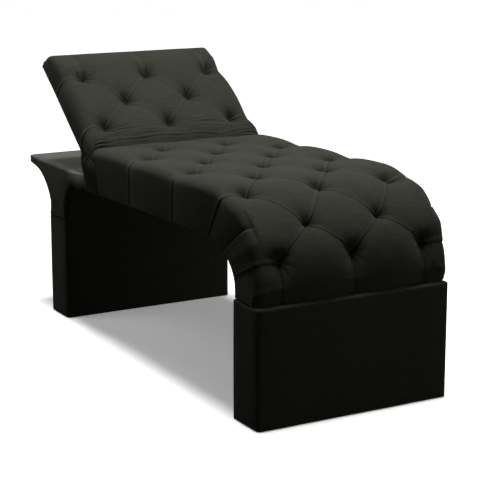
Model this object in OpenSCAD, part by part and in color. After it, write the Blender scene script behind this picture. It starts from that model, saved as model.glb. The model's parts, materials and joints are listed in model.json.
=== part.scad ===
/* [Overall] */
// Length from the foot end of the mattress to the head edge of the shelf
bed_l = 1795; // [1700:5:1900]
// Width over the covers
bed_w = 700; // [640:10:760]
// Height of the shelf's top over the floor
shelf_top = 586; // [570:1:600]
// How far the shelf reaches past the head pedestal
shelf_overhang = 182; // [150:2:210]

/* [Pedestals] */
// Height of both pedestals
pedestal_h = 384; // [350:2:400]
// Depth of each pedestal along the bed
pedestal_d = 160; // [150:2:190]
// Radius of the pedestals' upright corners
corner_r = 20; // [18:1:26]
// Roundover along the top of a pedestal's cover
top_edge_r = 7; // [5:1:10]
// Thickness of the pedestal panels
panel_t = 15; // [12:1:18]
// Thickness of the foam sleeve round a pedestal
sleeve_t = 8; // [5:1:10]
// Thickness of the cover cloth
cloth_t = 2; // [1:0.5:3]
// Height of the glides under the pedestals
glide_h = 4; // [3:0.5:8]
// Radius of a glide
glide_r = 12; // [8:1:15]

/* [Seat frame] */
// Thickness of the plywood of rails, ribs and boards
rail_t = 18; // [15:1:21]
// Thickness of the bent plywood deck
deck_t = 9; // [6:1:12]
// Height of the flat deck's upper face
deck_top = 611; // [604:1:620]
// Height of the underside at the knee of the wave
under_knee_z = 547; // [535:1:555]
// Height of the underside where it meets the flared bracket
under_head_z = 526; // [515:1:535]
// Length of the rounded corner of the underside at the foot
under_corner_l = 190; // [150:5:220]
// Thickness of the wadding and cloth on the sides of the frame
wrap_t = 12; // [8:1:15]
// Depth of the cross rails under the deck
cross_rail_h = 45; // [35:1:50]

/* [Mattress] */
// Foam and wadding over the flat deck, to the crown of the tufts
seat_foam_t = 104; // [90:1:115]
// Foam and wadding on the upright foot end
roll_foam_t = 95; // [80:1:105]
// Length along the bed of the rolled foot end
roll_l = 350; // [320:5:380]
// Height of the straight part at the foot of the roll
roll_foot_h = 61; // [50:1:75]
// Foam and wadding on the backrest, to the crown of the tufts
back_foam_t = 82; // [70:1:90]
// Distance across the bed from one column of tufts to the next
tuft_pitch_x = 130; // [110:5:138]
// Distance along the seat from one row of tufts to the next
seat_tuft_pitch = 165; // [150:5:166]
// Distance along the backrest from one row of tufts to the next
back_tuft_pitch = 127; // [110:1:134]
// Depth of a tuft below the crown
tuft_depth = 34; // [20:1:45]
// Depth of a pleat below the crown
pleat_depth = 13; // [5:1:20]
// Radius of the mattress's long upper edges
shoulder_r = 38; // [25:1:45]

/* [Flared bracket and shelf] */
// Length along the bed of the curve on the head side
flare_head_l = 260; // [230:5:280]
// Height of the curve on the head side
flare_head_h = 170; // [160:1:175]
// Length along the bed of the curve on the foot side
flare_foot_l = 90; // [60:5:110]
// Thickness of the bent skins
skin_t = 4; // [3:0.5:6]
// Thickness of the foam and cloth over the skins
flare_foam_t = 6; // [4:0.5:8]
// Thickness of the shelf's panel
shelf_panel_t = 12; // [9:1:15]

/* [Backrest] */
// Length of the backrest's frame from the hinge line
back_frame_l = 562; // [520:2:565]
// Thickness of the backrest's front panel
back_panel_t = 5; // [4:0.5:8]
// Width of the stiles
stile_w = 40; // [30:1:42]
// Width of the backrest's cross rails
back_rail_w = 40; // [30:1:50]

/* [Ratchet hinges] */
// Angle of one click of the hinge, in degrees
click_angle = 9.6; // [9:0.2:10.2]
// Clicks between lying flat and the pose shown
clicks_down = 4; // [3:1:5]
// Clicks between the pose shown and fully raised
clicks_up = 2; // [1:1:3]
// Thickness of the hinge plates
plate_t = 3; // [2.5:0.5:4]
// Radius over the ratchet teeth
tooth_tip_r = 27.5; // [26:0.5:29]
// Depth of the ratchet teeth
tooth_h = 3.5; // [2.5:0.5:4]
// Radius of the shoulder that the moving arm turns on
pivot_r = 6; // [5:0.5:7]
// Radius of the shoulder that a pawl turns on
pawl_pivot_r = 3.5; // [3:0.5:4]
// Length of a pawl from its pin to its tip
pawl_l = 36; // [34:1:38]

/* [Hidden] */
$fn = 48;

// One overrun serves all cuts
over = 1;
// Soft pieces lie this far from what carries them
soft_gap = 0.3;
// Radial clearance of a running pin, and of a fixed pin in its hole
run_clear = 0.05;
fixed_clear = 0.02;

// The head pedestal, counted along the bed from the foot end
head_v = bed_l - shelf_overhang - pedestal_d;

// Inside a pedestal: the panels start behind the cloth and the sleeve
shell_t = cloth_t + sleeve_t;
inner_r = corner_r - shell_t;
base_cloth_t = 1;
hem_z = glide_h + base_cloth_t;
panel_z = hem_z + cloth_t;
top_panel_z = pedestal_h - cloth_t - panel_t;
block_leg = 35;
block_drop = 12;
glide_inset = 10;
glide_stem_r = 2;
glide_stem_h = 22;

// Half widths, from the cover inwards
half_w = bed_w / 2;
frame_half_w = half_w - wrap_t;
rail_in_x = frame_half_w - rail_t;

// The seat's path: up the foot end, round the roll and along the flat deck
roll_z = pedestal_h + roll_foot_h;
path_gap = 4;
path_z = pedestal_h + path_gap;
roll_power = 2 / 2.2;
deck_a = roll_l - roll_foam_t;
deck_b = deck_top - roll_z;
hinge_end_drop = 12;

// The hinge line: the backrest's rear face clears the shelf when it lies flat
pivot_back = 601;
pivot_rise = 20;
shelf_clear = 1;
pivot_v = bed_l - pivot_back;
pivot_z = shelf_top + shelf_clear + pivot_rise;
rest_angle = click_angle * clicks_down;

// Ends of the seat and of the backrest at the fold
deck_short = 34;
deck_end = pivot_v - deck_short;
seat_lean = 18;
lean_start_share = 0.95;
back_start = 34;
back_start_lean = 26;
back_end_lean = 16;
pad_end_over = 4;

// Tufts: the rows on the roll are given by their angle, those on the flat by the pitch
roll_row_angles = [18, 41, 74];
first_flat_row = 62;
flat_rows = 1 + floor((deck_end - roll_l - first_flat_row) / seat_tuft_pitch);
back_first_row = 166;
back_row_clear = 60;
back_rows = 1 + floor((back_frame_l - back_first_row - back_row_clear) / back_tuft_pitch);
rows_between = 4;

// Flared bracket: centres of its two curves
flare_inset = 9;
flare_foot_inset = 3;
flare_z = pedestal_h + top_edge_r;
head_curve_v = bed_l - shelf_overhang - flare_inset + flare_head_l;
foot_curve_v = head_v + flare_foot_inset - flare_foot_l;
flare_t = skin_t + flare_foam_t;
rib_top = under_head_z + flare_t;
edge_t = flare_foam_t;
flare_foot_h = under_head_z - flare_z;
shelf_panel_z = shelf_top - cloth_t - shelf_panel_t;
shelf_gap = 38;
shelf_start = pivot_v + shelf_gap;
step_back = 4;
inner_rib_x = 155;
curve_steps = 12;

// Underside: corner at the foot
under_inset = 5;
under_foot_v = pedestal_d - under_inset;
under_corner_rise = 16;
under_corner_z = pedestal_h + under_corner_rise;
under_corner_h = under_knee_z - under_corner_z;

// Cross rails stand midway between the rows of tufts, the last one clear of the hinges
last_rail_back = 86;
first_cross_v = roll_l + first_flat_row + seat_tuft_pitch / 2;
cross_count = flat_rows - 1;

// Bolts between frame and pedestals
bolt_r = 4;
bolt_head_r = 8;
bolt_head_h = 3;
bolt_spare = 4;
t_nut_r = 11;
t_nut_t = 1.5;
t_nut_barrel_r = 5;
t_nut_barrel_h = 9;
bolt_x_in = 60;
bolt_x_out = 250;
bolt_x = [-bolt_x_out, -bolt_x_in, bolt_x_in, bolt_x_out];
foot_bolt_v = 124;
head_bolt_v = head_v + pedestal_d / 2;

// Twines and washers of the tufts
twine_r = 1.2;
twine_clear = 0.3;
tuft_washer_r = 11;
tuft_washer_t = 2;
washer_stand_roll = 2.7;
washer_stand_flat = 0.1;
knot_h = 1.5;
washer_clear = 0.5;

// Mattress section: columns across, as shares of the half width
column_shares = [0, 0.124, 0.247, 0.371, 0.495, 0.619, 0.743, 0.81, 0.885, 0.94, 0.975, 1];
draw_in = 5;
pleat_power = 3;
foot_tuck = 12;
seat_end_round = 8;
back_end_rounds = [30, 22, 12, 4];
back_end_steps = [0, 10, 32, 64];
end_row_share = 0.7;
crease_drop = 14;
fold_clear = 2;
fold_gap = 0.4;

// Backrest section, counted from its rear face
rear_cloth_t = 1.5;
stile_t = rail_t;
back_front = rear_cloth_t + stile_t + back_panel_t;
hinge_gap = 0.5;
arm_out_x = rail_in_x - plate_t - hinge_gap;
arm_in_x = arm_out_x - plate_t;
skirt_clear = 1;
skirt_in_x = arm_out_x + skirt_clear;

// Number of columns of tufts on each side of the middle, on the seat and on the backrest
seat_columns = floor((rail_in_x - tuft_washer_r - washer_clear) / tuft_pitch_x);
back_columns = floor((arm_in_x - stile_w - tuft_washer_r - washer_clear) / tuft_pitch_x);

// Hinge plates, pawls and springs
tip_angle = 260;
tooth_root_r = tooth_tip_r - tooth_h;
lock_angle = 2.2;
floor_angle = 1;
land_angle = 1.2;
slope_reach_share = 1.3;
tip_clear = 0.25;
tip_clear_angle = 0.45;
pawl_off_angle = 8;
tip_at = polar(tooth_root_r + tip_clear, tip_angle);
pawl_line = 170;
pawl_at = tip_at + polar(pawl_l, pawl_line);
pawl_eye_r = 7;
pawl_bar_w = 7;
pawl_heel = tooth_tip_r + pawl_bar_w;
pawl_side = polar(pawl_bar_w / 2, pawl_line - 90);
pin_head_r = 9;
pin_head_t = 3;
spigot_r = 5;
pawl_spigot_r = 3;
pawl_head_r = 6;
pawl_head_t = 2;
arm_head_r = 14;
arm_foot_back = 66;
arm_foot_front = 18;
arm_foot_low = 62;
arm_foot_top = 9;
arm_neck_back = 26;
arm_l = 160;
arm_w = 16;
arm_tail_r = arm_w / 2;
arm_t_mid = pivot_rise - rear_cloth_t - stile_t / 2;
screw_r = 2;
screw_head_r = 4;
screw_head_h = 2.2;
screw_l = 16;
moving_screws = [60, 100, 140];
screw_low = 54;
fixed_screws = [-56, -20, 8];
spring_t = 0.6;
spring_post_r = 2;
spring_at = [2, -24];
spring_share = 0.45;

// Point at a distance and an angle
function polar(r, a) = [r * cos(a), r * sin(a)];

// Point part of the way from p to q
function between(p, q, share) = p + (q - p) * share;

// List in reverse order
function backwards(list) = [for (i = [len(list) - 1:-1:0]) list[i]];

// Point turned by an angle about the hinge line
function turned(p, a) = [p[0] * cos(a) - p[1] * sin(a), p[0] * sin(a) + p[1] * cos(a)];

// Point on the seat's path: u runs 0 to 3, f is the share of the foam, o an offset outwards
function seat_at(u, f, o = 0) =
    let (a = deck_a + f * roll_foam_t + o, b = deck_b + f * seat_foam_t + o, angle = 90 * (u - 1))
    u <= 1 ? [roll_l - a, path_z + (roll_z - path_z) * u]
    : u <= 2 ? [roll_l - a * pow(cos(angle), roll_power), roll_z + b * pow(sin(angle), roll_power)]
    : [
        roll_l + (deck_end - roll_l) * (u - 2) - seat_lean * f * lean_share(u),
        deck_top + o + f * (seat_foam_t - hinge_end_drop * (u - 2))
    ];
function lean_share(u) = max(0, (u - 2 - lean_start_share) / (1 - lean_start_share));

// Rows of tufts on the seat as values of u, then stations as pairs of u and row number
seat_row_u = concat(
    [for (angle = roll_row_angles) 1 + angle / 90],
    [for (k = [0:flat_rows - 1]) 2 + (first_flat_row + k * seat_tuft_pitch) / (deck_end - roll_l)]
);
last_row = len(seat_row_u) - 1;
end_row = last_row + (3 - seat_row_u[last_row]) * (deck_end - roll_l) / seat_tuft_pitch;
seat_stations = concat(
    [[0, -1], [0.15, -0.95], [0.6, -0.7], [1, -0.4], [1.1, -0.2]],
    [for (r = [0:last_row - 1]) for (k = [0:rows_between - 1])
        [seat_row_u[r] + (seat_row_u[r + 1] - seat_row_u[r]) * k / rows_between, r + k / rows_between]],
    [[seat_row_u[last_row], last_row]],
    [[2 + lean_start_share, (last_row + end_row) / 2], [3, end_row]]
);
function seat_edge(o) = [for (s = seat_stations) seat_at(s[0], 0, o)];

// Curves of the underside and of the flared bracket, moved into the material by e
function under_edge(e) = concat(
    [for (i = [0:curve_steps]) let (angle = 90 * i / curve_steps) [
        under_foot_v + under_corner_l - (under_corner_l + e) * cos(angle),
        under_corner_z + (under_corner_h + e) * sin(angle)
    ]],
    [[foot_curve_v, under_head_z + e]]
);
function foot_curve(e) = [for (i = [0:curve_steps]) let (angle = 90 * i / curve_steps)
    [foot_curve_v + (flare_foot_l + e) * cos(angle), flare_z + (flare_foot_h + e) * sin(angle)]];
function head_curve(e, end_v) =
    let (end_angle = acos((head_curve_v - end_v) / (flare_head_l + e)))
    [for (i = [0:curve_steps]) let (angle = end_angle * i / curve_steps)
        [head_curve_v - (flare_head_l + e) * cos(angle), flare_z + (flare_head_h + e) * sin(angle)]];

// The part of a rising line of points below or above a height, with the point where it crosses
function crossing(line, z) = [for (i = [0:len(line) - 2]) if (line[i][1] <= z && line[i + 1][1] > z)
    at_height(line[i], line[i + 1], z)];
function below(line, z) = concat([for (p = line) if (p[1] < z) p], crossing(line, z));
function above(line, z) = concat(crossing(line, z), [for (p = line) if (p[1] > z) p]);
function at_height(p, q, z) = between(p, q, (z - p[1]) / (q[1] - p[1]));

// Depth of the tufting at x and row number r: pleats run along the diagonals between tufts
function nearest(value) = abs(value - round(value));
function tuft_drop(x, r, rows, last_column) =
    let (c = x / tuft_pitch_x, p = nearest((c + r) / 2), q = nearest((c - r) / 2))
    r < 0 ? straight_drop(2 * nearest(c / 2), -r)
    : r > rows ? straight_drop(2 * nearest((c + rows) / 2), r - rows)
    : abs(c) > last_column ? straight_drop(2 * nearest((r + last_column) / 2), abs(c) - last_column)
    : let (a = 1 - 2 * p, b = 1 - 2 * q)
        pleat_depth * pow(max(a, b), pleat_power) + (tuft_depth - pleat_depth) * pow(a * b, 2);
function straight_drop(away, past) =
    let (a = max(0, 1 - away))
    pleat_depth * pow(a, pleat_power) + (tuft_depth - pleat_depth) * pow(a * max(0, 1 - 2 * past), 2);

// Drop of the section's rounded shoulder at a share of the half width
function shoulder_drop(share) =
    let (past = max(0, share * half_w - half_w + shoulder_r))
    shoulder_r - sqrt(shoulder_r * shoulder_r - past * past);
columns = concat(
    backwards([for (share = column_shares) -share]),
    [for (i = [1:len(column_shares) - 1]) column_shares[i]]
);

// One ring of a cushion: base and crown are points in the side view, r the row number
function top_ring(base, crown, r, rows, last_column, fade, extra) =
    let (thick = norm(crown - base), pull = draw_in * (1 - 2 * nearest((r + last_column) / 2)) * fade)
    [for (share = columns) let (
        x = share * (half_w - pull),
        drop = extra + shoulder_drop(abs(share)) + fade * tuft_drop(share * half_w, r, rows, last_column),
        p = between(base, crown, 1 - drop / thick))
        [x, p[0], p[1]]];
function plain_ring(base, crown, r, fade, extra) = concat(
    top_ring(base, crown, r, last_row, seat_columns, fade, extra),
    [[half_w - draw_in, base[0], base[1]], [draw_in - half_w, base[0], base[1]]]
);

// Closed skin over rings that all have the same number of points, top columns first
module skin(rings, skirted = false) {
    n = len(rings[0]);
    top = len(columns);
    last = (len(rings) - 1) * n;
    sides = [for (i = [0:len(rings) - 2]) for (j = [0:n - 1])
        let (a = i * n + j, b = i * n + (j + 1) % n)
        each [[a, b + n, b], [a, a + n, b + n]]];
    cap = skirted
        ? concat([for (j = [0:top - 2]) [top + 3, j, j + 1]],
            [[top + 3, top - 1, top + 2], [top + 2, top - 1, top], [top + 2, top, top + 1]],
            [[top + 3, top + 4, top + 5], [top + 3, top + 5, 0]])
        : concat([for (j = [0:top - 2]) [top + 1, j, j + 1]], [[top + 1, top - 1, top]]);
    polyhedron(
        points = [for (ring = rings) each ring],
        faces = concat(sides, cap, [for (f = cap) [for (k = backwards(f)) k + last]])
    );
}

// From the foot end's coordinates to the frame of the whole bed
module place() {
    translate([0, -bed_l / 2, 0]) children();
}

// A side view, x along the bed and y up, made solid from x1 to x2 across the bed
module across(x1, x2) {
    place() translate([x1, 0, 0]) rotate([90, 0, 90]) linear_extrude(x2 - x1) children();
}

// The same on both sides of the bed
module both_sides() {
    children();
    mirror([1, 0, 0]) children();
}

// The frame of the hinge line, then of the backrest in the pose shown: its y runs up the
// backrest and its z away from the rear face
module at_hinge() {
    place() translate([0, pivot_v, pivot_z]) children();
}
module on_back() {
    at_hinge() rotate([rest_angle, 0, 0]) translate([0, 0, -pivot_rise]) children();
}

// Block between two corners
module block(low, high) {
    translate(low) cube(high - low);
}

// Flat plate with round upright corners, from z1 to z2, over a pedestal's footprint
module round_plate(inset, r, z1, z2) {
    w = bed_w - 2 * inset;
    d = pedestal_d - 2 * inset;
    translate([-w / 2, inset, z1]) linear_extrude(z2 - z1) union() {
        translate([r, 0]) square([w - 2 * r, d]);
        translate([0, r]) square([w, d - 2 * r]);
        for (x = [r, w - r], y = [r, d - r]) translate([x, y]) circle(r);
    }
}

// A profile, x outwards from the corner's axis and y up, carried once round a pedestal
module round_pedestal() {
    w = half_w - corner_r;
    d = pedestal_d / 2 - corner_r;
    for (a = [0:3]) {
        translate([a == 0 || a == 3 ? w : -w, a < 2 ? pedestal_d - corner_r : corner_r, 0])
            rotate([0, 0, 90 * a]) rotate_extrude(angle = 90) children();
    }
    for (side = [0, 1]) {
        translate([0, pedestal_d / 2, 0]) rotate([0, 0, 180 * side]) {
            translate([-w, d, 0]) rotate([90, 0, 90]) linear_extrude(2 * w) children();
            translate([w, d, 0]) rotate([90, 0, 0]) linear_extrude(2 * d) children();
        }
    }
}

// Quarter circle of points about a centre, from outwards to up
function quarter(c, r) = [for (i = [0:6]) c + polar(r, 15 * i)];

// Pedestal pieces, in the pedestal's own frame
module pedestal_cover() {
    color("#23231f") {
        round_pedestal() polygon(concat(
            [[0, hem_z], [corner_r, hem_z]],
            quarter([corner_r - top_edge_r, pedestal_h - top_edge_r], top_edge_r),
            [[0, pedestal_h], [0, pedestal_h - cloth_t]],
            backwards(quarter([corner_r - top_edge_r, pedestal_h - top_edge_r], top_edge_r - cloth_t)),
            [[corner_r - cloth_t, hem_z + cloth_t], [0, hem_z + cloth_t]]
        ));
        block(
            [corner_r - half_w, corner_r, pedestal_h - cloth_t],
            [half_w - corner_r, pedestal_d - corner_r, pedestal_h]
        );
    }
}

module pedestal_padding() {
    color("#d9d4c2") round_pedestal() polygon(concat(
        [[inner_r, panel_z], [corner_r - cloth_t, panel_z]],
        quarter([corner_r - top_edge_r, pedestal_h - top_edge_r], top_edge_r - cloth_t),
        [[inner_r, pedestal_h - cloth_t]]
    ));
}

module pedestal_long_panel(v) {
    x = half_w - shell_t - panel_t;
    color("#c9a877") block([-x, v, panel_z], [x, v + panel_t, top_panel_z]);
}

module pedestal_end_panels() {
    color("#c9a877") both_sides() intersection() {
        round_plate(shell_t, inner_r, panel_z, top_panel_z);
        block([half_w - shell_t - panel_t, 0, 0], [half_w, pedestal_d, pedestal_h]);
    }
}

module pedestal_top_panel(bolt_v) {
    color("#c9a877") difference() {
        round_plate(shell_t, inner_r, top_panel_z, pedestal_h - cloth_t);
        for (x = bolt_x) translate([x, bolt_v, top_panel_z - over])
            cylinder(r = bolt_r + fixed_clear, h = panel_t + 2 * over);
    }
}

// Places of the four corners inside the panels, with the directions into the pedestal
module at_inner_corners() {
    w = half_w - shell_t - panel_t;
    d = pedestal_d / 2 - shell_t - panel_t;
    for (sx = [-1, 1], sy = [-1, 1])
        translate([sx * w, pedestal_d / 2 + sy * d, 0]) scale([-sx, -sy, 1]) children();
}

module pedestal_corner_blocks() {
    color("#b9945f") at_inner_corners() difference() {
        translate([0, 0, panel_z]) linear_extrude(top_panel_z - panel_z - block_drop)
            polygon([[0, 0], [block_leg, 0], [0, block_leg]]);
        translate([glide_inset, glide_inset, 0])
            cylinder(r = glide_stem_r + fixed_clear, h = panel_z + glide_stem_h);
    }
}

module pedestal_base_cloth() {
    color("#1b1b1b") difference() {
        round_plate(shell_t, inner_r, glide_h, glide_h + base_cloth_t);
        at_inner_corners() translate([glide_inset, glide_inset, 0])
            cylinder(r = glide_stem_r + fixed_clear, h = panel_z + over);
    }
}

module pedestal_glides() {
    color("#2b2b2b") at_inner_corners() translate([glide_inset, glide_inset, 0]) {
        cylinder(r = glide_r, h = glide_h);
        cylinder(r = glide_stem_r, h = glide_h + glide_stem_h);
    }
}

module foot_front_panel() { place() pedestal_long_panel(shell_t); }
module foot_back_panel() { place() pedestal_long_panel(pedestal_d - shell_t - panel_t); }
module foot_end_panels() { place() pedestal_end_panels(); }
module foot_top_panel() { place() pedestal_top_panel(foot_bolt_v); }
module foot_corner_blocks() { place() pedestal_corner_blocks(); }
module foot_padding() { place() pedestal_padding(); }
module foot_cover() { place() bolt_holes(foot_bolt_v) pedestal_cover(); }
module foot_base_cloth() { place() pedestal_base_cloth(); }
module foot_glides() { place() pedestal_glides(); }

module at_head() { place() translate([0, head_v, 0]) children(); }
module head_front_panel() { at_head() pedestal_long_panel(shell_t); }
module head_back_panel() { at_head() pedestal_long_panel(pedestal_d - shell_t - panel_t); }
module head_end_panels() { at_head() pedestal_end_panels(); }
module head_top_panel() { at_head() pedestal_top_panel(head_bolt_v - head_v); }
module head_corner_blocks() { at_head() pedestal_corner_blocks(); }
module head_padding() { at_head() pedestal_padding(); }
module head_cover() { at_head() bolt_holes(head_bolt_v - head_v) pedestal_cover(); }
module head_base_cloth() { at_head() pedestal_base_cloth(); }
module head_glides() { at_head() pedestal_glides(); }

// Bolt holes through whatever is given, at v along the bed
module bolt_holes(v) {
    difference() {
        children();
        for (x = bolt_x) translate([x, v, top_panel_z])
            cylinder(r = bolt_r + fixed_clear, h = panel_t + cloth_t + over);
    }
}

// Seat frame
module side_rails() {
    outline = concat(
        [[under_foot_v - cloth_t, pedestal_h]],
        under_edge(cloth_t),
        [[foot_curve_v, rib_top]],
        above(head_curve(flare_t, bed_l - edge_t), rib_top),
        [[bed_l - edge_t, shelf_panel_z], [pivot_v - step_back, shelf_panel_z]],
        [[pivot_v - step_back, deck_top - deck_t]],
        backwards(seat_edge(-deck_t)),
        [[roll_foam_t + deck_t, pedestal_h]]
    );
    color("#c9a877") both_sides() difference() {
        across(rail_in_x, frame_half_w) polygon(outline);
        at_fixed_screws() cylinder(r = screw_r + fixed_clear, h = screw_l);
    }
}

module cross_rails() {
    top = deck_top - deck_t;
    color("#b9945f") {
        for (k = [0:cross_count - 1]) cross_rail(first_cross_v + k * seat_tuft_pitch, top);
        cross_rail(pivot_v - last_rail_back, top);
    }
}
module cross_rail(v, top) {
    place() block([-rail_in_x, v - rail_t / 2, top - cross_rail_h], [rail_in_x, v + rail_t / 2, top]);
}

// Board with T-nut holes that takes the bolts, z from the pedestal's top
module bolt_board(v1, v2, bolt_v) {
    color("#b9945f") place() difference() {
        block([-rail_in_x, v1, pedestal_h], [rail_in_x, v2, pedestal_h + rail_t]);
        for (x = bolt_x) translate([x, bolt_v, pedestal_h - over])
            cylinder(r = t_nut_barrel_r + fixed_clear, h = rail_t + 2 * over);
    }
}
module foot_board() { bolt_board(roll_foam_t + deck_t, under_foot_v - cloth_t, foot_bolt_v); }
module flare_base_board() {
    bolt_board(foot_curve_v + flare_foot_l + flare_t, head_curve_v - flare_head_l - flare_t, head_bolt_v);
}

module seat_deck() {
    color("#d2b483") difference() {
        across(-frame_half_w, frame_half_w) polygon(concat(seat_edge(0), backwards(seat_edge(-deck_t))));
        at_seat_tufts() twine_hole(deck_t);
    }
}

module underside_cloth() {
    color("#1d1d1b") across(-frame_half_w, frame_half_w) polygon(concat(
        [[under_foot_v, pedestal_h]], under_edge(0),
        backwards(under_edge(cloth_t)), [[under_foot_v - cloth_t, pedestal_h]]
    ));
}

module side_wraps() {
    outline = concat(
        [[under_foot_v, pedestal_h]],
        under_edge(0),
        backwards(foot_curve(0)),
        [[foot_curve_v + flare_foot_l, pedestal_h], [head_curve_v - flare_head_l, pedestal_h]],
        head_curve(0, bed_l),
        [[bed_l, shelf_top], [pivot_v - step_back, shelf_top], [pivot_v - step_back, deck_top]],
        backwards(seat_edge(0)),
        [[roll_foam_t, pedestal_h]]
    );
    color("#262622") both_sides() across(frame_half_w, half_w) polygon(outline);
}

// Flared bracket and shelf
function rib_outline(low, top) = concat(
    above(concat([[foot_curve_v + flare_foot_l + flare_t, pedestal_h]], foot_curve(flare_t)), low),
    top > rib_top ? [[foot_curve_v, top], [bed_l - edge_t, top]] : [],
    backwards(above(top > rib_top ? head_line() : below(head_line(), rib_top), low))
);
function head_line() = concat(
    [[head_curve_v - flare_head_l - flare_t, pedestal_h]],
    head_curve(flare_t, bed_l - edge_t)
);
module flare_ribs() {
    color("#c9a877") both_sides() {
        across(rail_in_x, frame_half_w) polygon(rib_outline(pedestal_h, rib_top));
        across(inner_rib_x - rail_t / 2, inner_rib_x + rail_t / 2)
            polygon(rib_outline(pedestal_h + rail_t, shelf_panel_z));
    }
}

// Bands that lie along the two curves, from depth e1 to depth e2
module foot_band(e1, e2) {
    across(-frame_half_w, frame_half_w) polygon(concat(
        [[foot_curve_v + flare_foot_l + e1, pedestal_h]], foot_curve(e1),
        backwards(foot_curve(e2)), [[foot_curve_v + flare_foot_l + e2, pedestal_h]]
    ));
}
module head_band(e1, e2) {
    across(-frame_half_w, frame_half_w) polygon(concat(
        [[head_curve_v - flare_head_l - e1, pedestal_h]], head_curve(e1, bed_l - edge_t),
        backwards(head_curve(e2, bed_l - edge_t)), [[head_curve_v - flare_head_l - e2, pedestal_h]]
    ));
}
module flare_foot_skin() { color("#d2b483") foot_band(flare_foam_t, flare_t); }
module flare_head_skin() { color("#d2b483") head_band(flare_foam_t, flare_t); }
module flare_cover() {
    color("#23231f") {
        foot_band(0, flare_foam_t);
        head_band(0, flare_foam_t);
    }
}

module shelf_panel() {
    color("#c9a877") place() block(
        [-frame_half_w, shelf_start, shelf_panel_z],
        [frame_half_w, bed_l - edge_t, shelf_panel_z + shelf_panel_t]
    );
}
module shelf_cover() {
    tip = head_curve(0, bed_l)[curve_steps];
    color("#262622") across(-frame_half_w, frame_half_w) polygon([
        [shelf_start, shelf_top - cloth_t], [shelf_start, shelf_top], [bed_l, shelf_top], tip,
        [bed_l - edge_t, tip[1]], [bed_l - edge_t, shelf_top - cloth_t]
    ]);
}

// Bolts and T-nuts
module at_bolts() {
    for (v = [foot_bolt_v, head_bolt_v], x = bolt_x) place() translate([x, v, 0]) children();
}
module seat_bolts() {
    color("#8d9094") at_bolts() {
        translate([0, 0, top_panel_z - bolt_head_h]) cylinder(r = bolt_head_r, h = bolt_head_h);
        translate([0, 0, top_panel_z - bolt_head_h])
            cylinder(r = bolt_r, h = bolt_head_h + panel_t + cloth_t + rail_t + bolt_spare);
    }
}
module t_nuts() {
    color("#a3a6aa") at_bolts() translate([0, 0, pedestal_h + rail_t - t_nut_barrel_h]) difference() {
        union() {
            translate([0, 0, t_nut_barrel_h]) cylinder(r = t_nut_r, h = t_nut_t);
            cylinder(r = t_nut_barrel_r, h = t_nut_barrel_h);
        }
        translate([0, 0, -over]) cylinder(r = bolt_r + run_clear, h = t_nut_barrel_h + t_nut_t + 2 * over);
    }
}

// Seat cushion with its tufts
module seat_pad() {
    last = len(seat_stations) - 1;
    rings = [for (i = [0:last]) let (
        s = seat_stations[i],
        base = seat_at(s[0], 0, soft_gap),
        crown = seat_at(s[0], 1, 0),
        fade = i == 0 || i == last ? 0 : 1,
        extra = i == last ? seat_end_round : max(0, foot_tuck * (1 - s[0])))
        plain_ring(base, crown, s[1], fade, extra)];
    color("#2b2b27") place() skin(rings);
}

// Corners of the fold in the frame of the hinge line: seat side, then backrest side
seat_low = seat_at(3, 0, soft_gap) - [pivot_v, pivot_z];
seat_high = seat_at(3, 1, 0) - [pivot_v, pivot_z];
seat_edge_high = between(seat_low, seat_high, 1 - seat_end_round / norm(seat_high - seat_low));
back_low = turned([back_start, back_front + soft_gap - pivot_rise], rest_angle);
back_high = turned([back_start + back_start_lean, back_front + back_foam_t - pivot_rise], rest_angle);
back_edge_high = between(back_low, back_high, 1 - seat_end_round / norm(back_high - back_low));
fold_low_z = tooth_tip_r + fold_clear;
module fold_pad() {
    base_1 = at_height(seat_low, seat_edge_high, fold_low_z) + [fold_gap, 0];
    base_3 = at_height(back_low, back_edge_high, fold_low_z) - [fold_gap, 0];
    top_1 = seat_edge_high + [fold_gap, 0];
    top_3 = back_edge_high - [fold_gap, 0];
    rings = [
        plain_ring(base_1, top_1, 0, 0, 0),
        plain_ring((base_1 + base_3) / 2, (top_1 + top_3) / 2, 0, 0, crease_drop),
        plain_ring(base_3, top_3, 0, 0, 0)
    ];
    color("#2b2b27") at_hinge() skin(rings);
}

// Columns that have a tuft in row r
function tuft_columns(r, last_column) = [for (c = [-last_column:last_column]) if ((r + c) % 2 == 0) c];

// Places of the tufts, with z pointing out through the foam from the deck's lower face
module at_seat_tufts(stand_roll = 0, stand_flat = 0) {
    for (r = [0:last_row]) {
        low = seat_at(seat_row_u[r], 0, -deck_t);
        high = seat_at(seat_row_u[r], 0.5, 0);
        stand = r < len(roll_row_angles) ? stand_roll : stand_flat;
        for (c = tuft_columns(r, seat_columns))
            place() translate([c * tuft_pitch_x, low[0], low[1]])
                rotate([-atan2(high[0] - low[0], high[1] - low[1]), 0, 0])
                    translate([0, 0, -stand]) children();
    }
}
module twine_hole(board_t) {
    translate([0, 0, -over]) cylinder(r = twine_r + twine_clear, h = board_t + 4 * over, $fn = 24);
}
module washer() {
    translate([0, 0, -tuft_washer_t]) difference() {
        cylinder(r = tuft_washer_r, h = tuft_washer_t);
        twine_hole(tuft_washer_t);
    }
}
module twine(board_t, foam) {
    low = tuft_washer_t + knot_h;
    translate([0, 0, -low]) cylinder(r = twine_r, h = low + board_t + foam, $fn = 24);
    translate([0, 0, -low]) cylinder(r = 2 * twine_r, h = knot_h - twine_clear, $fn = 24);
}
module seat_tuft_twines() {
    color("#3a3a38") at_seat_tufts(washer_stand_roll, washer_stand_flat)
        twine(deck_t, roll_foam_t - tuft_depth);
}
module seat_tuft_washers() {
    color("#6f7175") at_seat_tufts(washer_stand_roll, washer_stand_flat) washer();
}

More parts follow.
